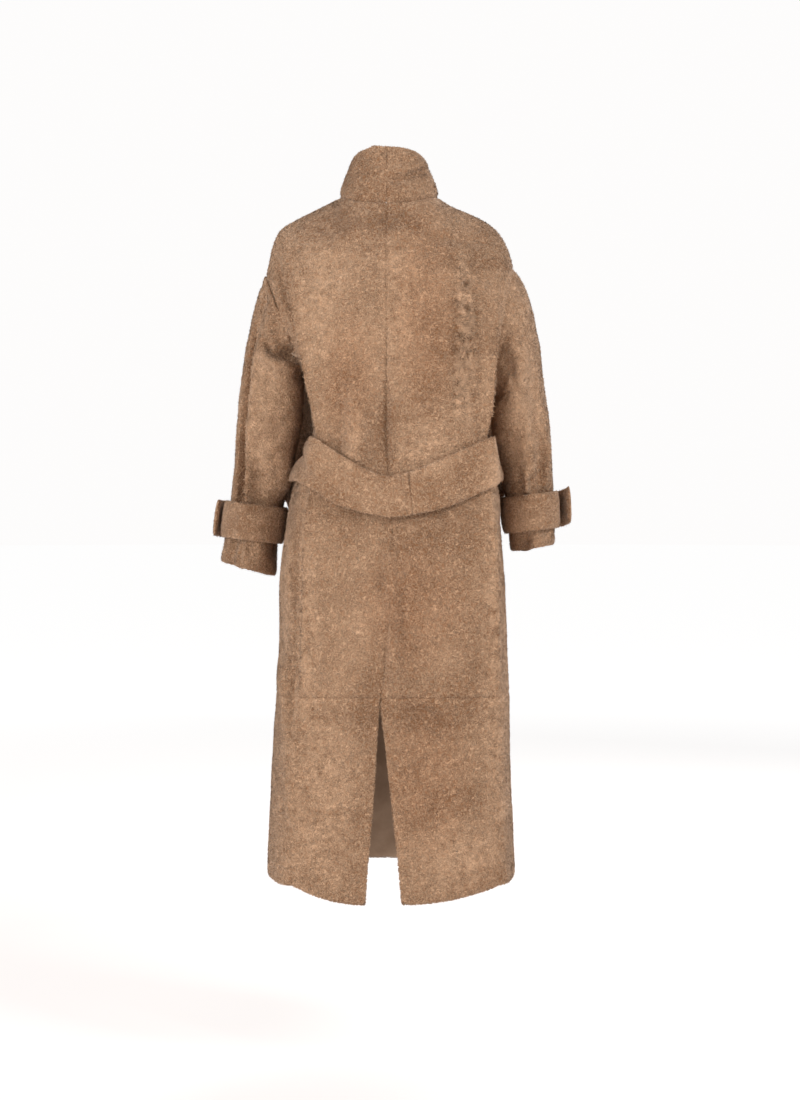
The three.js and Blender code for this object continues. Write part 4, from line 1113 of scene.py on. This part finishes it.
def add_band(name, base, normals, lifts, thick, round_ends, creases=()):
    """The band's tube, as a grid that is closed round it. round_ends says which ends are closed."""
    _, full = oval()
    run = np.insert(np.linalg.norm(np.diff(base[:, 0], axis=0), axis=-1), 0, 0).cumsum()
    cap = np.ones(len(run))
    for closes, away in zip(round_ends, (run, run[-1] - run)):
        if closes:
            near = clamp(away / BAND_END_ROUND, BAND_END_LEAST, 1)
            cap = np.minimum(cap, np.sqrt(1 - (1 - near) ** 2))
    half = thick / 2 - BAND_GROUND * GROUND + BAND_FULLER
    lift = (lifts + thick / 2)[:, None] + full[None] * half * cap[:, None]
    lift = lift + relief(base, normals * (0, 1, 0) + BAND_SEEN, creases)
    lift = lift + BAND_RIPPLE_HIGH * ripple(base, BAND_RIPPLE, len(name))
    grid = (base + normals * lift[..., None]).swapaxes(0, 1)
    middle = grid.mean(axis=0, keepdims=True)
    ring_normals = grid_normals(grid, middle, True)
    around, long = grid.shape[:2]
    index = np.arange(around * long).reshape(around, long)
    ring = np.concatenate([index, index[:1]])
    facing = np.cross(grid[1, 1] - grid[0, 1], grid[0, 2] - grid[0, 1]) @ ring_normals[0, 1]
    flip = bool(facing < 0)
    quads = grid_quads(ring, flip)
    caps = []
    for row, turn in ((0, flip), (long - 1, not flip)):
        for k in range(BAND_HALF):
            a, b, c, d = index[k, row], index[k + 1, row], index[-k - 1, row], index[-k, row]
            corners = [a, b, c, d] if turn else [d, c, b, a]
            corners = list(dict.fromkeys(int(v) for v in corners))
            if len(corners) > 2:
                caps.append(corners)
    u, v = np.meshgrid(np.linspace(0, 1, around + 1), np.linspace(0, 1, long), indexing="ij")
    flat = MAP_EDGE + (1 - 2 * MAP_EDGE) * np.stack([u, v], -1)
    numbers = np.arange((around + 1) * long).reshape(around + 1, long)
    uv = flat.reshape(-1, 2)[grid_quads(numbers, flip)].reshape(-1, 2)
    caps_uv = flat.reshape(-1, 2)[[c for face in caps for c in face]].reshape(-1, 2)
    faces = quads.tolist() + caps
    loops_uv = np.concatenate([uv, caps_uv])
    made = mesh_object("shell_" + name, grid.reshape(-1, 3), faces, [0] * len(faces), loops_uv)
    outward = (ring_normals * normals.swapaxes(0, 1)).sum(-1)
    to_end = np.minimum(run, run[-1] - run)[None] + 0 * outward
    panel = {"outer": grid, "welded": ring_normals, "edges": {}, "closed": True, "uv": flat}
    panels[name] = panel | {"object": made, "outward": outward, "edge_ways": [to_end]}


BELT_STEPS = 90
belt_places = np.linspace(BELT_SEAM + 0.001, BELT_END, BELT_STEPS)
add_band("belt_left", *belt_band(belt_places), BELT["thick"], (False, True), BELT_CREASES)
belt_places = np.linspace(-BELT_END, BELT_SEAM - 0.001, BELT_STEPS * 3 // 4)
add_band("belt_right", *belt_band(belt_places), BELT["thick"], (True, False), BELT_CREASES)
for side in SIDES:
    add_band(f"cuff_strap_{side}", *strap_band(side), STRAP["thick"], (True, True))
bands = [name for name in panels if name.startswith(("belt", "cuff"))]
print("bands:", {name: panels[name]["outer"].shape[:2] for name in bands})

# %% [markdown]
# ## Wool
#
# Particle hair would look right, but it can't leave Blender as a mesh. Here every lock of wool is
# one narrow triangle, joined with its neighbours into one mesh for each panel. Roots are spread
# evenly over the panel's area. Each lock leans its own way, a little more downwards than upwards,
# and patches lean together, as clipped wool does where it was stroked. The normal of a lock stays
# close to the panel's own, so that the wool shades softly and not like splinters.

# %% Where locks grow
LOCKS_A_CM2 = {"front": 18}
LOCKS_ELSEWHERE = 26
BAND_LOCK = 0.7  # locks of the belt and straps are shorter
EDGE_LOCK = 0.4  # and so are locks at every edge, within EDGE_REACH
EDGE_REACH = 8
LOCK_LENGTH = 6.4
LOCK_LENGTHS = (0.65, 1.25)
LOCK_HALF_WIDTH = 1.05
LOCK_WIDTHS = (0.7, 1.3)
LOCK_MAP = ((-0.0012, 0), (0.0012, 0), (0, 0.003))  # a lock's corners round its place in the map
LOCK_SPREAD = 1.25  # radians by which chance turns a lock
LOCK_TONE = 0.5
SCATTER = 0.28  # of the normals
ROOT_NORMAL = 0.15
TIP_NORMAL = 0.45
LOCK_LEANS = (0.1, 0.42)  # radians up from the skin
# Where the wool is rubbed up: x, z and half sizes on the back in millimetres
MUSSED = [(-128, -170, 9, 42), (-131, -232, 12, 40), (-126, -290, 13, 44), (-121, -350, 11, 40)]
CLUMP_HIGH, CLUMP_SIZE = 3.6, 15
RUBBED_UP = 0.5
ROOT_DEPTH = 0.6
RIM_STEP = 0.8
RIM_LENGTHS = (2.2, 3.8)
RIM_LEANS = (0.1, 0.6)
RIM_DEPTH = 1.0
HIDDEN = {"facing": -0.2, "share": 0.3}  # fewer locks grow on a band's inner face


def random_places(outer, closed, density, random, weight=None):
    """Random places on a grid's quads: column, row and the shares within the quad."""
    ring = np.concatenate([outer, outer[:1]]) if closed else outer
    across, down = ring[1:, :-1] - ring[:-1, :-1], ring[:-1, 1:] - ring[:-1, :-1]
    area = np.linalg.norm(np.cross(across, down), axis=-1)
    if weight is not None:
        area = area * weight[: area.shape[0], : area.shape[1]]
    count = int(area.sum() / 100 * density)
    share = np.cumsum(area.ravel()) / area.sum()
    cell = np.minimum(np.searchsorted(share, random.random(count)), area.size - 1)
    i, j = np.unravel_index(cell, area.shape)
    return i, j, random.random(count), random.random(count)


def on_grid(values, closed, i, j, s, t):
    ring = np.concatenate([values, values[:1]]) if closed else values
    s, t = s[:, None], t[:, None]
    return mix(mix(ring[i, j], ring[i + 1, j], s), mix(ring[i, j + 1], ring[i + 1, j + 1], s), t)


# %% Making locks


def lock_mesh(name, roots, normals, ways, lengths, leans, uv, random):
    """One mesh of single triangles, wide at the root, with tone and tip as attributes."""
    count = len(roots)
    tips = roots + ways * (lengths * np.cos(leans))[:, None]
    tips = tips + normals * (lengths * np.sin(leans))[:, None]
    half_widths = LOCK_HALF_WIDTH * random.uniform(*LOCK_WIDTHS, count)
    side = np.cross(normals, ways) * half_widths[:, None]
    points = np.stack([roots + side, roots - side, tips], 1).reshape(-1, 3)
    mesh = bpy.data.meshes.new(name)
    mesh.vertices.add(3 * count)
    mesh.vertices.foreach_set("co", (points * MM).astype(np.float32).ravel())
    mesh.loops.add(3 * count)
    mesh.loops.foreach_set("vertex_index", np.arange(3 * count, dtype=np.int32))
    mesh.polygons.add(count)
    mesh.polygons.foreach_set("loop_start", np.arange(0, 3 * count, 3, dtype=np.int32))
    mesh.polygons.foreach_set("use_smooth", np.ones(count, bool))
    layer = mesh.uv_layers.new(name="OFBake")
    layer.data.foreach_set("uv", (uv[:, None] + np.array(LOCK_MAP)).astype(np.float32).ravel())
    tone = mesh.attributes.new("tone", "FLOAT", "POINT")
    tones = random.normal(0, LOCK_TONE, count)
    tone.data.foreach_set("value", np.repeat(tones, 3).astype(np.float32))
    tip = mesh.attributes.new("tip", "FLOAT", "POINT")
    tip.data.foreach_set("value", np.tile([0.0, 0.0, 1.0], count).astype(np.float32))
    mesh.update()
    mesh.validate()
    scatter = random.normal(0, SCATTER, (count, 3))
    soft = unit(normals + scatter - ROOT_NORMAL * ways)
    tip_normal = unit(normals + scatter + TIP_NORMAL * ways)
    corner_normals = np.stack([soft, soft, tip_normal], 1).reshape(-1, 3)
    mesh.normals_split_custom_set_from_vertices(corner_normals.tolist())
    made = bpy.data.objects.new(name, mesh)
    bpy.context.scene.collection.objects.link(made)
    return made


def lean_way(normals, places, random):
    """A direction in the surface for each lock: down, turned by patches and by chance."""
    down = unit(np.array([0, 0, -1.0]) - normals * -normals[:, 2:3] + 1e-4)
    side = np.cross(normals, down)
    turn = ripple(places, 46, 5) + 0.7 * ripple(places, 17, 8)
    turn = turn + random.normal(0, LOCK_SPREAD, len(places))
    return unit(down * np.cos(turn)[:, None] + side * np.sin(turn)[:, None])


def rim_locks(panel, random):
    """Roots, normals and ways of extra locks that hang over a panel's free edges."""
    found = []
    for edge, kind in panel["edges"].items():
        if kind != "free":
            continue
        at = EDGE_AT[edge]
        beside = 2 if edge in ("first", "top") else -3
        line, normals = panel["outer"][at], panel["welded"][at]
        inner = panel["outer"][beside] if edge in ("first", "last") else panel["outer"][:, beside]
        uv_line = panel["uv"][: len(panel["outer"])][at]
        out = unit(line - inner)
        run = np.insert(np.linalg.norm(np.diff(line, axis=0), axis=-1), 0, 0).cumsum()
        at_run = np.sort(random.uniform(0, run[-1], int(run[-1] / RIM_STEP)))

        def along(values):
            return np.stack([np.interp(at_run, run, values[:, k]) for k in range(values.shape[1])], -1)

        roots, n, o = along(line), unit(along(normals)), unit(along(out))
        turn = random.uniform(-0.9, 1.3, len(at_run))[:, None]
        facing = unit(n * np.cos(turn) + o * np.sin(turn) + 1e-5)
        tangent = np.cross(n, o)
        way = unit(o * np.cos(turn) - n * np.sin(turn) + tangent * random.normal(0, 0.7, (len(at_run), 1)))
        found.append((roots - n * RIM_DEPTH, facing, way, along(uv_line)))
    return found


def mussed(places, normals):
    """1 where the wool of the back is rubbed up, and 0 elsewhere."""
    total = 0
    for x, z, wide, high in MUSSED:
        far = ((places[:, 0] - x) / wide) ** 2 + ((places[:, 2] - z) / high) ** 2
        total = total + np.exp(-far)
    return clamp(total) * (normals[:, 1] > 0.3)


def grow(name, number):
    """Grows a panel's wool and returns the number of its locks."""
    panel = panels[name]
    random = np.random.default_rng(number)
    closed = panel["closed"]
    weight = None
    if "outward" in panel:
        weight = np.where(panel["outward"] < HIDDEN["facing"], HIDDEN["share"], 1.0)
    density = LOCKS_A_CM2.get(name.split("_")[0], LOCKS_ELSEWHERE)
    i, j, s, t = random_places(panel["outer"], closed, density, random, weight)
    roots = on_grid(panel["outer"], closed, i, j, s, t)
    normals = unit(on_grid(panel["welded"], closed, i, j, s, t))
    uv = on_grid(panel["uv"], False, i, j, s, t)
    ways = lean_way(normals, roots, random)
    lengths = LOCK_LENGTH * random.uniform(*LOCK_LENGTHS, len(roots))
    short = np.ones(len(roots))
    for away in panel["edge_ways"]:
        near = on_grid(away[..., None], closed, i, j, s, t)[:, 0]
        short = np.minimum(short, mix(EDGE_LOCK, 1, smooth(near / EDGE_REACH)))
    lengths = lengths * short * (BAND_LOCK if "outward" in panel else 1)
    rubbed = mussed(roots, normals)
    leans = random.uniform(*LOCK_LEANS, len(roots)) + RUBBED_UP * rubbed
    lengths = lengths * (1 + RUBBED_UP * rubbed)
    roots = roots + normals * (CLUMP_HIGH * rubbed * ripple(roots, CLUMP_SIZE, 9))[:, None]
    sets = [(roots - normals * ROOT_DEPTH, normals, ways, uv, lengths, leans)]
    for r, n, w, at in rim_locks(panel, random):
        rim_lengths = random.uniform(*RIM_LENGTHS, len(r))
        sets.append((r, n, w, at, rim_lengths, random.uniform(*RIM_LEANS, len(r))))
    r, n, w, at, lengths, leans = (np.concatenate(parts) for parts in zip(*sets))
    panel["wool"] = lock_mesh("wool_" + name, r, n, w, lengths, leans, at, random)
    return len(r)


counts = {name: grow(name, 100 + k) for k, name in enumerate(panels)}
print("locks:", sum(counts.values()), counts)

# %% [markdown]
# ## Shader maths
#
# Nodes are easier to read as formulas. A Wire wraps one output socket. Adding, multiplying or
# comparing wires adds the Math nodes, with the reflected forms too, so that 1 - mask works.
# Every other node is made by Tree.node, which takes its type, its settings and its sockets.

# %% Wires and paint


class Wire:
    def __init__(self, paint, socket):
        self.paint = paint
        self.socket = socket

    def maths(self, operation, first, second=0.0):
        return self.paint.node("ShaderNodeMath", {"operation": operation}, {0: first, 1: second})

    def __add__(self, other):
        return self.maths("ADD", self, other)

    def __sub__(self, other):
        return self.maths("SUBTRACT", self, other)

    def __rsub__(self, other):
        return self.maths("SUBTRACT", other, self)

    def __mul__(self, other):
        return self.maths("MULTIPLY", self, other)

    def __truediv__(self, other):
        return self.maths("DIVIDE", self, other)

    def __pow__(self, other):
        return self.maths("POWER", self, other)

    __radd__ = __add__
    __rmul__ = __mul__

    def __abs__(self):
        return self.maths("ABSOLUTE", self)

    def within(self, low=0.0, high=1.0):
        return self.maths("MAXIMUM", self.maths("MINIMUM", self, high), low)


class Tree:
    """A node tree, and the one method that makes its nodes."""

    def __init__(self, tree):
        self.tree = tree

    def node(self, kind, settings=None, sockets=None, out=0):
        made = self.tree.nodes.new(kind)
        for key, value in (settings or {}).items():
            setattr(made, key, value)
        for key, value in (sockets or {}).items():
            if isinstance(value, Wire):
                self.tree.links.new(value.socket, made.inputs[key])
            else:
                made.inputs[key].default_value = value
        return Wire(self, made.outputs[out])


class Paint(Tree):
    """A material with one Principled shader."""

    def __init__(self, name, **shader):
        self.material = bpy.data.materials.new(name)
        self.material.use_nodes = True
        super().__init__(self.material.node_tree)
        self.shader = self.tree.nodes["Principled BSDF"]
        for socket, value in shader.items():
            self.shader.inputs[socket.replace("_", " ")].default_value = value

    def feed(self, socket, wire):
        self.tree.links.new(wire.socket, self.shader.inputs[socket])

    def place(self):
        """The place on the coat, in metres, and its x, y and z."""
        where = self.node("ShaderNodeTexCoord", out="Object")
        return where, [self.node("ShaderNodeSeparateXYZ", sockets={0: where}, out=k) for k in range(3)]

    def noise(self, where, scale, detail=2.0, rough=0.5, bent=0.0):
        sockets = {"Vector": where, "Scale": scale, "Detail": detail}
        sockets |= {"Roughness": rough, "Distortion": bent}
        return self.node("ShaderNodeTexNoise", sockets=sockets)

    def blend(self, factor, first, second, how="MIX"):
        settings = {"data_type": "RGBA", "blend_type": how}
        return self.node("ShaderNodeMix", settings, {0: factor, 6: first, 7: second}, out=2)

    def bump(self, height, strength, distance):
        sockets = {"Height": height, "Strength": strength, "Distance": distance}
        return self.node("ShaderNodeBump", sockets=sockets)


# %% [markdown]
# ## The colour of the wool
# The wool is a warm sand brown. Its colour is uneven in three sizes: patches as wide as a hand,
# where the skin took the dye differently, mottling as wide as a finger, where the locks lie
# differently, and the grain of single locks. Fine winding lines, a little lighter, stand for
# curls. A few larger places are listed: the redder right shoulder blade, the rubbed streak
# beside it, painted highlights on folds, on the right side of the skirt and on the sleeves, and
# painted shade in hollows, creases and seams. Each lock is painted darker at its root, and the
# ground between the locks darker still, as painted shade among the locks. A few larger places are set by
# hand: the redder right shoulder blade, the rubbed streak
# beside it, and lighter cloth on the folds.

# %% Places with a colour of their own
WOOL_DARK = (0.212, 0.104, 0.050, 1)
WOOL_LIGHT = (0.63, 0.388, 0.238, 1)
WOOL_RED = (1.0, 0.86, 0.76, 1)
# listed places on the back: x, z and half sizes in millimetres
RED_PLACES = [(-62, -210, 46, 150), (70, -330, 36, 90), (-40, -720, 70, 90), (-60, -1010, 60, 110)]
# lighter places: the rubbed streak of worn wool on the right shoulder blade, and painted highlights on
# folds, on the right side of the skirt and on the sleeves
RUBBED_AND_LIT_PLACES = [(-128, -175, 12, 60), (-133, -270, 16, 70), (-124, -360, 20, 60), (62, -420, 16, 60)]
RUBBED_AND_LIT_PLACES += [(-20, -170, 30, 90), (124, -190, 40, 110), (-60, -450, 50, 40), (120, -1060, 60, 150)]
RUBBED_AND_LIT_PLACES += [(150, -760, 30, 120), (-184, -800, 24, 300), (-110, -1150, 60, 60), (-246, -380, 34, 160)]
RUBBED_AND_LIT_PLACES += [(220, -400, 36, 150), (-190, -700, 14, 260)]
# painted shade: under the collar and the neck seam, in the yoke seam, in the folds of the back, in the
# trough of the left skirt and on the collar's left half
SHADE_PLACES = [(100, -62, 60, 26), (8, -430, 16, 80), (-20, -60, 50, 20), (-146, -300, 12, 80)]
SHADE_PLACES += [(60, -900, 60, 24), (-56, -905, 50, 22), (38, 40, 40, 56), (-150, -130, 60, 16)]
SHADE_PLACES += [(161, -700, 10, 180), (-115, -250, 12, 60), (-142, -280, 9, 80)]
TO_BACK = 40  # a place shows in full from 1 / TO_BACK metres behind the coat's middle


def spots(x, z, y, places):
    """1 inside any of the listed places on the coat's back, falling softly to 0 outside."""
    total = 0.0
    for at_x, at_z, wide, high in places:
        far = ((x - at_x * MM) / (wide * MM)) ** 2 + ((z - at_z * MM) / (high * MM)) ** 2
        total = (1 - far * 0.5).within() + total
    return total.within() * (y * TO_BACK).within()


# %% Wool
PATCH_SIZE, MOTTLE_SIZE, GRAIN_SIZE, CURL_SIZE = 9, 62, 330, 165  # waves a metre
CURL_BENT = 1.2
CURL_THIN = 11
TONE_BASE = 0.34
RED_SHOWS = 0.4
# how strongly the painted shade of the listed shaded places shows
SHADE_SHOWS = 0.2
WOOL_BUMP = {"strength": 0.8, "distance": 0.0025}


def wool(name, locks):
    paint = Paint(name, Roughness=0.9, Sheen_Weight=0.3, Sheen_Roughness=0.4, Specular_IOR_Level=0.15)
    paint.shader.inputs["Sheen Tint"].default_value = (1.0, 0.86, 0.72, 1)
    where, (x, y, z) = paint.place()
    patch = paint.noise(where, PATCH_SIZE, 2)
    mottle = paint.noise(where, MOTTLE_SIZE, 3, 0.6)
    grain = paint.noise(where, GRAIN_SIZE, 1)
    # a curl is a thin winding line, where a bent noise is near its middle value
    winding = paint.noise(where, CURL_SIZE, 1, 0.5, CURL_BENT)
    curl = (1 - abs(winding - 0.5) * CURL_THIN).within()
    tone = (patch - 0.5) * 0.9 + (mottle - 0.5) * 0.5 + (grain - 0.5) * 0.6
    tone = tone + curl * 0.7 + TONE_BASE
    if locks:
        own = paint.node("ShaderNodeAttribute", {"attribute_name": "tone"}, out="Fac")
        tip = paint.node("ShaderNodeAttribute", {"attribute_name": "tip"}, out="Fac")
        # painted shade among the locks: each lock is darker at its root and lighter towards its tip
        tone = tone + own * 0.3 + tip * 0.34 - 0.09
    else:
        # painted shade: the ground between the locks is darker, as the shade in the gaps
        tone = tone - 0.15
    # lighter where the wool is rubbed, and where highlights are painted on folds, the skirt's right side
    # and the sleeves
    rubbed_and_lit = spots(x, z, y, RUBBED_AND_LIT_PLACES)
    # darker where shade is painted in hollows, creases and seams
    tone = tone - spots(x, z, y, SHADE_PLACES) * SHADE_SHOWS + rubbed_and_lit * (mottle * 1.3 - 0.38)
    tone = tone + spots(x, z, y, MUSSED) * (mottle - 0.42) * 4.4
    colour = paint.blend(tone.within(), WOOL_DARK, WOOL_LIGHT)
    redder = paint.blend(1.0, colour, WOOL_RED, "MULTIPLY")
    paint.feed("Base Color", paint.blend(spots(x, z, y, RED_PLACES) * RED_SHOWS, colour, redder))
    paint.feed("Normal", paint.bump(grain * 0.6 + mottle + curl * 0.8, **WOOL_BUMP))
    return paint.material


wool_ground = wool("wool_ground", False)
wool_locks = wool("wool_locks", True)
print("nodes in the wool:", len(wool_locks.node_tree.nodes))

# %% [markdown]
# ## Suede inside
#
# The flesh side of the skin is suede, darker and smoother than the wool. It shows at the neck,
# in the cuffs and through the vent.

# %% Suede
SUEDE_DARK = (0.24, 0.155, 0.1, 1)
SUEDE_LIGHT = (0.40, 0.275, 0.19, 1)


def suede():
    paint = Paint("suede", Roughness=0.85, Sheen_Weight=0.25, Sheen_Roughness=0.4, Specular_IOR_Level=0.2)
    where, _ = paint.place()
    cloud = paint.noise(where, 24, 4, 0.6)
    nap = paint.noise(where, 900, 2)
    tone = (cloud - 0.5) * 1.8 + nap * 0.3 + 0.35
    paint.feed("Base Color", paint.blend(tone.within(), SUEDE_DARK, SUEDE_LIGHT))
    paint.feed("Normal", paint.bump(nap, 0.25, 0.0006))
    return paint.material


suede_inside = suede()
for panel in panels.values():
    panel["object"].data.materials.append(wool_ground)
    panel["object"].data.materials.append(suede_inside)
    panel["wool"].data.materials.append(wool_locks)
print("materials:", [m.name for m in (wool_ground, wool_locks, suede_inside)])

# %% [markdown]
# ## Riding on the frame, and the panels' sizes
#
# Every shell stands for the solid of its name, and its wool rides with it. The widest row, longest
# column and area of each panel are printed.


def measured(grid, closed):
    """A grid's widest row, longest column and area, in metres and square metres."""
    ring = np.concatenate([grid, grid[:1]]) if closed else grid
    across, down = np.diff(ring, axis=0), np.diff(ring, axis=1)
    wide = np.linalg.norm(across, axis=-1).sum(axis=0).max()
    long = np.linalg.norm(down, axis=-1).sum(axis=1).max()
    area = np.linalg.norm(np.cross(across[:, :-1], down[:-1]), axis=-1).sum()
    return round(wide * MM, 3), round(long * MM, 3), round(area * MM * MM, 4)


for name, panel in panels.items():
    kind, side = name.rsplit("_", 1)
    print(name, "measures", measured(panel["outer"], panel["closed"]))
    piece, hair = panel["object"], panel["wool"]
    for shown in (piece, hair):
        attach(shown, "root")
    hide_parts(name)

# %% [markdown]
# ## Floor and light
#
# A pale floor and a white surrounding stand for the studio. A large soft lamp high on the right
# shapes the folds, one behind the camera and one on the left keep the shadows open, and one in
# front lights the coat's face when it is looked at from there.

# %% Studio
FLOOR_Z = -1.52
SURROUND_LOOK = 0.985
SURROUND_LIGHT = 0.32
FLOOR_GLOW = 0.8
FLOOR_RADIUS = 40
FLOOR_CORNERS = 64
FLOOR_DARK = (0.52, 0.50, 0.49, 1)
FLOOR_LIGHT = (0.54, 0.525, 0.515, 1)
FLOOR_FAR = (0.6, 0.595, 0.59, 1)
GLOW_NEAR = (0.66, 0.63, 0.62, 1)
GLOW_FAR = (1.0, 1.0, 1.0, 1)
scene = bpy.context.scene
world = bpy.data.worlds.new("studio")
scene.world = world
world.use_nodes = True
sky = world.node_tree.nodes["Background"]
sky.inputs["Color"].default_value = (1.0, 0.99, 0.985, 1)
# The surround looks white, and gives less light than it shows, as a lit screen far behind does
surround = Tree(world.node_tree)
seen = surround.node("ShaderNodeLightPath", out="Is Camera Ray")
limits = {"Value": seen, "To Min": SURROUND_LIGHT, "To Max": SURROUND_LOOK}
strength = surround.node("ShaderNodeMapRange", sockets=limits)
surround.tree.links.new(strength.socket, sky.inputs["Strength"])
scene.view_settings.view_transform = "Standard"
print("the surround shows", SURROUND_LOOK, "and lights with", SURROUND_LIGHT)

# %% Floor
floor_paint = Paint("floor", Roughness=0.9, Specular_IOR_Level=0.0, Emission_Strength=FLOOR_GLOW)
floor_where, (floor_x, floor_y, _) = floor_paint.place()
floor_far = ((floor_x * floor_x + floor_y * floor_y) ** 0.5 * 0.22 - 0.3).within()
floor_cloud = floor_paint.noise(floor_where, 2, 2)
near_paint = floor_paint.blend(floor_cloud, FLOOR_DARK, FLOOR_LIGHT)
floor_paint.feed("Base Color", floor_paint.blend(floor_far, near_paint, FLOOR_FAR))
floor_paint.feed("Emission Color", floor_paint.blend(floor_far, GLOW_NEAR, GLOW_FAR))
floor_turns = [k * 2 * math.pi / FLOOR_CORNERS for k in range(FLOOR_CORNERS)]
floor_points = [(FLOOR_RADIUS * math.cos(a), FLOOR_RADIUS * math.sin(a), FLOOR_Z) for a in floor_turns]
floor_mesh = bpy.data.meshes.new("floor")
floor_mesh.from_pydata(floor_points, [], [tuple(range(FLOOR_CORNERS))])
floor_mesh.materials.append(floor_paint.material)
floor = bpy.data.objects.new("floor", floor_mesh)
scene.collection.objects.link(floor)
floor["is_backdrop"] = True
print("floor", FLOOR_Z, "m below the neck's middle")

# %% Lamps
# place, what it points at, size and strength of each lamp
LAMPS = [
    ((-3.0, 2.2, 1.6), (0, 0, -0.5), 1.3, 98),
    ((1.0, 3.6, 0.4), (0, 0, -0.5), 1.8, 40),
    ((3.2, 1.6, 0.5), (0, 0, -0.5), 1.5, 64),
    ((-1.2, -2.6, 1.2), (0, 0, -0.5), 1.6, 72),
]
for number, (place, target, size, power) in enumerate(LAMPS):
    lamp_data = bpy.data.lights.new(f"lamp_{number}", "AREA")
    lamp_data.size = size
    lamp_data.energy = power
    lamp = bpy.data.objects.new(f"lamp_{number}", lamp_data)
    lamp.location = place
    way = np.array(target, float) - np.array(place)
    flat_way = math.hypot(way[0], way[1])
    turned = math.atan2(way[1], way[0]) - math.pi / 2
    lamp.rotation_euler = (math.atan2(flat_way, -way[2]), 0, turned)
    scene.collection.objects.link(lamp)
print("lamps:", len(LAMPS))

# %% How much the box grew, and the end
new_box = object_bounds()
for was, now in zip(CAD_BOX, new_box):
    print("grown by mm:", [round(float(b - a) / MM, 1) for a, b in zip(was, now)])
